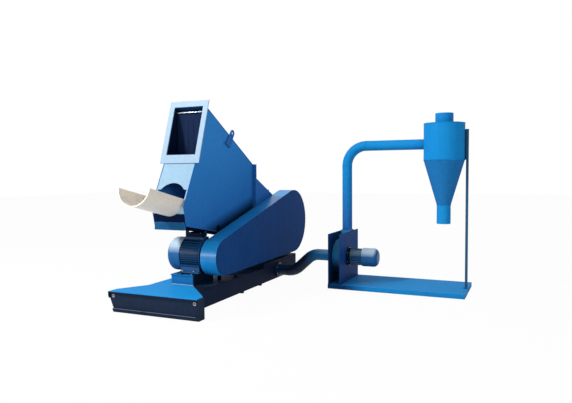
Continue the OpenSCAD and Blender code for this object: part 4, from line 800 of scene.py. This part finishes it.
box_screws = [(BOX_X + x, MOTOR_Y + y, BOX_TOP_Z) for x in (-0.088, 0.088) for y in (-0.058, 0.058)]
bolted("terminal_box_screws", box_screws, size=0.45)
cowl_places = []
for angle in (45, 135, 225, 315):
    out = Vector((0, math.cos(math.radians(angle)), math.sin(math.radians(angle))))
    cowl_places.append(aimed(Vector((COWL_X, MOTOR_Y, MOTOR_Z)) + COWL_RADIUS * out, out, size=0.5))
repeat("fan_cowl_screws", bolt, cowl_places, "base", steel_mat)
gland = turned("gland_master", GLAND_RINGS, sides=16)
repeat("cable_gland", gland, [aimed(GLAND_AT, LEFTWARD)], "base", rubber_mat)
collar = turned("collar_master", COLLAR_RINGS, sides=20)
repeat("motor_eye_collar", collar, [aimed((EYEBOLT_X, MOTOR_Y, COLLAR_Z))], "base", motor_coat)
start_fresh()
bpy.ops.mesh.primitive_circle_add(
    vertices=12, radius=EYE_THICKNESS, fill_type="NOTHING",
    location=(EYE_RADIUS, 0, 0), rotation=(math.pi / 2, 0, 0),
)
eye = bpy.context.object
bpy.ops.object.transform_apply(location=True, rotation=True)
edit_all("VERT")
bpy.ops.mesh.spin(steps=36, angle=2 * math.pi, center=(0, 0, 0), axis=UPWARD)
close_up(eye, 60)
upright_eye = Matrix.Translation((EYEBOLT_X, MOTOR_Y, EYE_Z)) @ Matrix.Rotation(math.pi / 2, 4, "X")
repeat("motor_eye_ring", eye, [upright_eye], "base", motor_coat)
print("motor fittings:", len(box_screws) + len(cowl_places), "screws, a gland and an eyebolt")

# %% [markdown]
# Weld seams. A hand weld is a row of overlapping ripples, so the master is a short
# rope: a six-sided face pushed forward again and again while its ring swells and
# shrinks. A seam is a line of points, and every stretch of it takes as many ropes as
# fit. Round seams are the same thing with many short stretches.

# %% Weld rope and the way it is laid
RIPPLES, SWELL = 9, 1.22
ROPE_LEN = 0.11
WELD_RADIUS, FINE_WELD = 0.0042, 0.003

start_fresh()
bpy.ops.mesh.primitive_circle_add(vertices=6, radius=1.0, fill_type="NGON")
rope = bpy.context.object
rope.name = "weld_master"
edit_all()
for step in range(2 * RIPPLES):
    pushed(0.5 / RIPPLES, SWELL if step % 2 == 0 else 1 / SWELL)
close_up(rope, 60)


def seam(points, radius=WELD_RADIUS):
    """Matrices that lay weld ropes along a line of points."""
    places = []
    for a, b in zip(points, points[1:]):
        a, b = Vector(a), Vector(b)
        count = max(1, round((b - a).length / ROPE_LEN))
        for k in range(count):
            places.append(aimed(a.lerp(b, k / count), b - a, radius, (b - a).length / count))
    return places


def round_seam(centre, radius, count, axis="z", thick=WELD_RADIUS):
    """The same round a circle that lies flat, or that faces along X."""
    spots = []
    for u, v in ring(count, radius) + ring(1, radius):
        offset = Vector((u, v, 0)) if axis == "z" else Vector((0, u, v))
        spots.append(Vector(centre) + offset)
    return seam(spots, thick)


def welded(name, ropes, material):
    return repeat(name, rope, ropes, "base", material)


print("weld rope:", len(rope.data.polygons), "faces")

# %% [markdown]
# On the granulator the seams run along the hopper's folded edges, under its lifting
# lugs, round the pedestal's foot, along the deck's two sides and down the front beam.
# Points of the hopper's outline are pairs of Y and Z.

# %% Seams of the granulator
HOPPER_HALF = 0.210
THROAT, NOSE, TOE = (0.4961, 1.6202), (0.255, 1.143), (0.305, 0.930)
HEEL, ROOF, CREST = (1.888, 0.634), (1.888, 1.626), (0.7182, 2.292)
LUG_OUT, LUG_FRONT, LUG_BACK = 0.014, (1.128, 1.888), (1.243, 1.822)
PEDESTAL_HALF, PEDESTAL_BACK, SEAM_Z = 0.150, 0.945, 0.229
FRONT_SEAM_Y, FRONT_SEAM_Z, FRONT_SEAM_RADIUS = 0.514, 0.230, 0.006
DECK_HALF, DECK_FROM, DECK_TO, DECK_Z = 0.365, 0.376, 1.250, 0.221
LIP_HALF, LIP_Y, LIP_Z = 0.190, 0.300, 0.968
BEAM_FROM, BEAM_TO, BEAM_SEAM_Y, BEAM_SEAM_Z = -0.520, 0.575, -0.034, 0.037
RAIL_SEAM_Y, RAIL_SEAM_FOOT, RAIL_SEAM_TOP = 0.056, 0.021, 0.218
SLIM_WELD = 0.004

hopper_lines = []
for x in (-HOPPER_HALF, HOPPER_HALF):
    hopper_lines += seam([(x, *corner) for corner in (THROAT, NOSE, TOE, HEEL)])
    hopper_lines += seam([(x, *CREST), (x, *ROOF)])
    hopper_lines += seam([(x, *ROOF), (x, *HEEL)])
    lug_x = x + math.copysign(LUG_OUT, x)
    hopper_lines += seam([(lug_x, *LUG_FRONT), (lug_x, *LUG_BACK)])
welded("hopper_welds", hopper_lines, blue)

deck_lines = []
for x in (-PEDESTAL_HALF, PEDESTAL_HALF):
    deck_lines += seam([(x, PEDESTAL_FRONT, SEAM_Z), (x, PEDESTAL_BACK, SEAM_Z)])
deck_lines += seam([(-PEDESTAL_HALF, PEDESTAL_BACK, SEAM_Z), (PEDESTAL_HALF, PEDESTAL_BACK, SEAM_Z)])
for x in (-DECK_HALF, DECK_HALF):
    deck_lines += seam([(x, DECK_FROM, DECK_Z), (x, DECK_TO, DECK_Z)])
welded("deck_welds", deck_lines, deck_coat)
# The pedestal's front weld and the weld along the hopper's lip are in pale paint: a painted highlight along
# those edges.
front_ends = [(x, FRONT_SEAM_Y, FRONT_SEAM_Z) for x in (-PEDESTAL_HALF, PEDESTAL_HALF)]
welded("pedestal_front_weld", seam(front_ends, FRONT_SEAM_RADIUS), pale)
lip_ends = [(x, LIP_Y, LIP_Z) for x in (-LIP_HALF, LIP_HALF)]
welded("hopper_lip_weld", seam(lip_ends, SLIM_WELD), pale)

beam_lines = seam([(x, BEAM_SEAM_Y, BEAM_SEAM_Z) for x in (BEAM_FROM, BEAM_TO)], SLIM_WELD)
for x in (-DECK_HALF, DECK_HALF):
    beam_lines += seam([(x, RAIL_SEAM_Y, RAIL_SEAM_FOOT), (x, RAIL_SEAM_Y, RAIL_SEAM_TOP)])
welded("beam_welds", beam_lines, navy)
print("weld ropes on the granulator:", len(hopper_lines) + len(deck_lines) + len(beam_lines))

# %% [markdown]
# On the fan stand they run round the cyclone's barrel, spout and outlet, round the
# riser at its flange and its elbow, at the post's foot, along both fan plates, and
# round the suction pipe where it leaves the rail.

# %% Seams of the fan stand
# Height, radius and number of stretches: foot of the barrel, head of the spout, outlet.
CYCLONE_SEAMS = [(1.655, 0.2505, 40), (1.090, 0.0855, 18), (2.112, 0.1105, 20)]
RISER_SEAM_RADIUS, RISER_STRETCHES = 0.0675, 16
RISER_FOOT_Z, ELBOW_FOOT_Z = 0.719, 1.595
ELBOW_END_X, ELBOW_END_Z = 1.6005, 1.865
POST_FROM_X, POST_TO_X, POST_SEAM_Z = 2.914, 2.944, 0.064
PIPE_SEAM_X, PIPE_SEAM_RADIUS, PIPE_STRETCHES = 0.539, 0.0765, 18
PLATE_FRONT_Y, PLATE_BACK_Y, TRAY_SEAM_Z = 1.990, 2.800, 0.057

stand_lines = []
for height, radius, count in CYCLONE_SEAMS:
    stand_lines += round_seam((CYCLONE_X, CYCLONE_Y, height), radius, count)
riser_ring = (RISER_SEAM_RADIUS, RISER_STRETCHES)
stand_lines += round_seam((RISER_X, RISER_Y, RISER_FOOT_Z), *riser_ring)
stand_lines += round_seam((RISER_X, RISER_Y, ELBOW_FOOT_Z), *riser_ring, thick=FINE_WELD)
stand_lines += round_seam((ELBOW_END_X, RISER_Y, ELBOW_END_Z), *riser_ring, axis="x", thick=FINE_WELD)
for y in (2.369, 2.401):
    stand_lines += seam([(POST_FROM_X, y, POST_SEAM_Z), (POST_TO_X, y, POST_SEAM_Z)])
welded("fan_stand_welds", stand_lines, azure)

pipe_end = (PIPE_SEAM_X, FAN_Y, PIPE_Z)
plate_lines = round_seam(pipe_end, PIPE_SEAM_RADIUS, PIPE_STRETCHES, axis="x", thick=FINE_WELD)
for x in (1.249, 1.412):
    plate_lines += seam([(x, PLATE_FRONT_Y, TRAY_SEAM_Z), (x, PLATE_BACK_Y, TRAY_SEAM_Z)])
welded("fan_plate_welds", plate_lines, navy)
print("weld ropes on the fan stand:", len(stand_lines) + len(plate_lines))

# %% [markdown]
# Two last touches of bare steel: turned collars round the towing eyes, and the flat
# bar with its small bolts that clamps the rubber curtain to its rod. The bar and the
# bolts ride with the curtain.

# %% Towing eye collars and clamp bar
EYE_COLLAR_RINGS = [
    (0.0135, 0.0), (0.0190, 0.0), (0.0190, 0.004), (0.0180, 0.005),
    (0.0150, 0.005), (0.0135, 0.004), (0.0135, 0.0),
]
TOW_EYE_X, TOW_EYE_Y, TOW_EYE_Z = 0.525, -0.035, 0.174
ROD_Y, ROD_Z = 0.7448, 2.215
BAR_SIZE, BAR_ROUNDING = (0.356, 0.005, 0.009), 0.0015
BAR_AHEAD, BAR_ABOVE, BOLTS_AHEAD = 0.0165, 0.004, 0.019

eye_collar = turned("eye_collar_master", EYE_COLLAR_RINGS)
tow_eyes = [aimed((x, TOW_EYE_Y, TOW_EYE_Z), FORWARD) for x in (-TOW_EYE_X, TOW_EYE_X)]
repeat("towing_eye_collars", eye_collar, tow_eyes, "base", steel_mat)
start_fresh()
bpy.ops.mesh.primitive_cube_add(size=1)
bar = bpy.context.object
bar.scale = BAR_SIZE
bpy.ops.object.transform_apply(scale=True)
edit_all()
bpy.ops.mesh.bevel(offset=BAR_ROUNDING, segments=2, affect="EDGES")
close_up(bar)
bar_place = Matrix.Translation((0, ROD_Y - BAR_AHEAD, ROD_Z + BAR_ABOVE))
repeat("curtain_clamp", bar, [bar_place], "curtain", steel_mat)
clamp_spots = [(x, ROD_Y - BOLTS_AHEAD, ROD_Z) for x in (-0.15, -0.075, 0.0, 0.075, 0.15)]
bolted("curtain_clamp_bolts", clamp_spots, FORWARD, size=0.4, body="curtain")
for master in (bolt, gland, collar, eye, rope, eye_collar, bar):
    bpy.data.objects.remove(master)

# %% [markdown]
# The floor is a plain pale plane that takes the machine's soft shadow. Seen by the
# camera it is mixed towards white, as is the backdrop, because the picture was cut out
# on white. That costs no extra light: the floor stays a plain pale grey to the machine,
# and the sky stays at a plain level.

# %% Floor and world
FLOOR_SIZE, FLOOR_AT = 60, (1, 5, -0.001)
FLOOR_WHITENESS = 0.96
SKY_COLOUR, SKY_STRENGTH = (0.90, 0.95, 1.0, 1), 0.45


def white_to_viewers(tree, shader_socket, target, share):
    """Mix white light over a shader for rays from the camera and clear mirrors."""
    rays = tree.nodes.new("ShaderNodeLightPath")
    seen = rays.outputs["Is Camera Ray"]
    for kind in ("Is Glossy Ray", "Is Transmission Ray"):
        either = tree.nodes.new("ShaderNodeMath")
        either.operation = "MAXIMUM"
        tree.links.new(seen, either.inputs[0])
        tree.links.new(rays.outputs[kind], either.inputs[1])
        seen = either.outputs[0]
    part = tree.nodes.new("ShaderNodeMath")
    part.operation = "MULTIPLY"
    part.inputs[1].default_value = share
    tree.links.new(seen, part.inputs[0])
    white = tree.nodes.new("ShaderNodeEmission")
    white.inputs["Color"].default_value = (1, 1, 1, 1)
    mixed = tree.nodes.new("ShaderNodeMixShader")
    tree.links.new(part.outputs[0], mixed.inputs[0])
    tree.links.new(shader_socket, mixed.inputs[1])
    tree.links.new(white.outputs[0], mixed.inputs[2])
    tree.links.new(mixed.outputs[0], target)


bpy.ops.mesh.primitive_plane_add(size=FLOOR_SIZE, location=FLOOR_AT)
floor = bpy.context.object
floor.name = "studio_floor"
paper = Finish("floor_paper")
floor.data.materials.append(paper.finish(Base_Color=(0.80, 0.80, 0.80), Roughness=0.9))
paper_end = paper.tree.nodes["Material Output"].inputs["Surface"]
white_to_viewers(paper.tree, paper.surface.outputs[0], paper_end, FLOOR_WHITENESS)

world = bpy.data.worlds.new("studio")
scene.world = world
world.use_nodes = True
sky_light = world.node_tree.nodes["Background"]
sky_light.inputs["Color"].default_value = SKY_COLOUR
sky_light.inputs["Strength"].default_value = SKY_STRENGTH
sky_end = world.node_tree.nodes["World Output"].inputs["Surface"]
white_to_viewers(world.node_tree, sky_light.outputs[0], sky_end, 1.0)
print("floor", FLOOR_SIZE, "m wide, sky at strength", SKY_STRENGTH)

# %% [markdown]
# Three round soft lamps stand about the machine. The key lamp, high on the left, models
# the forms, a weak one low on the left lights the front plate, and a broad cool one on
# the right opens the shadows. A disc gives softer shadow edges than a point or the sun.


# %% Lamps
def soft_lamp(name, at, towards, size, watts, colour=(1, 1, 1)):
    bpy.ops.object.light_add(type="AREA", location=at)
    lamp = bpy.context.object
    lamp.name = name
    lamp.data.shape = "DISK"
    lamp.data.size = size
    lamp.data.energy = watts
    lamp.data.color = colour
    aim = Vector(towards) - Vector(at)
    lamp.rotation_euler = aim.to_track_quat("-Z", "Y").to_euler()
    return lamp


COOL_WHITE = (0.95, 0.97, 1.0)
soft_lamp("key_lamp", at=(-4.5, -4.5, 8.0), towards=(0.6, 1.2, 0.6), size=1.6, watts=800)
soft_lamp("front_lamp", at=(-4.2, -5.6, 2.6), towards=(0.4, 0.8, 0.8), size=1.2, watts=120)
soft_lamp(
    "fill_lamp", at=(7.0, -6.0, 4.0), towards=(1.0, 1.0, 0.8), size=4.0, watts=90, colour=COOL_WHITE
)
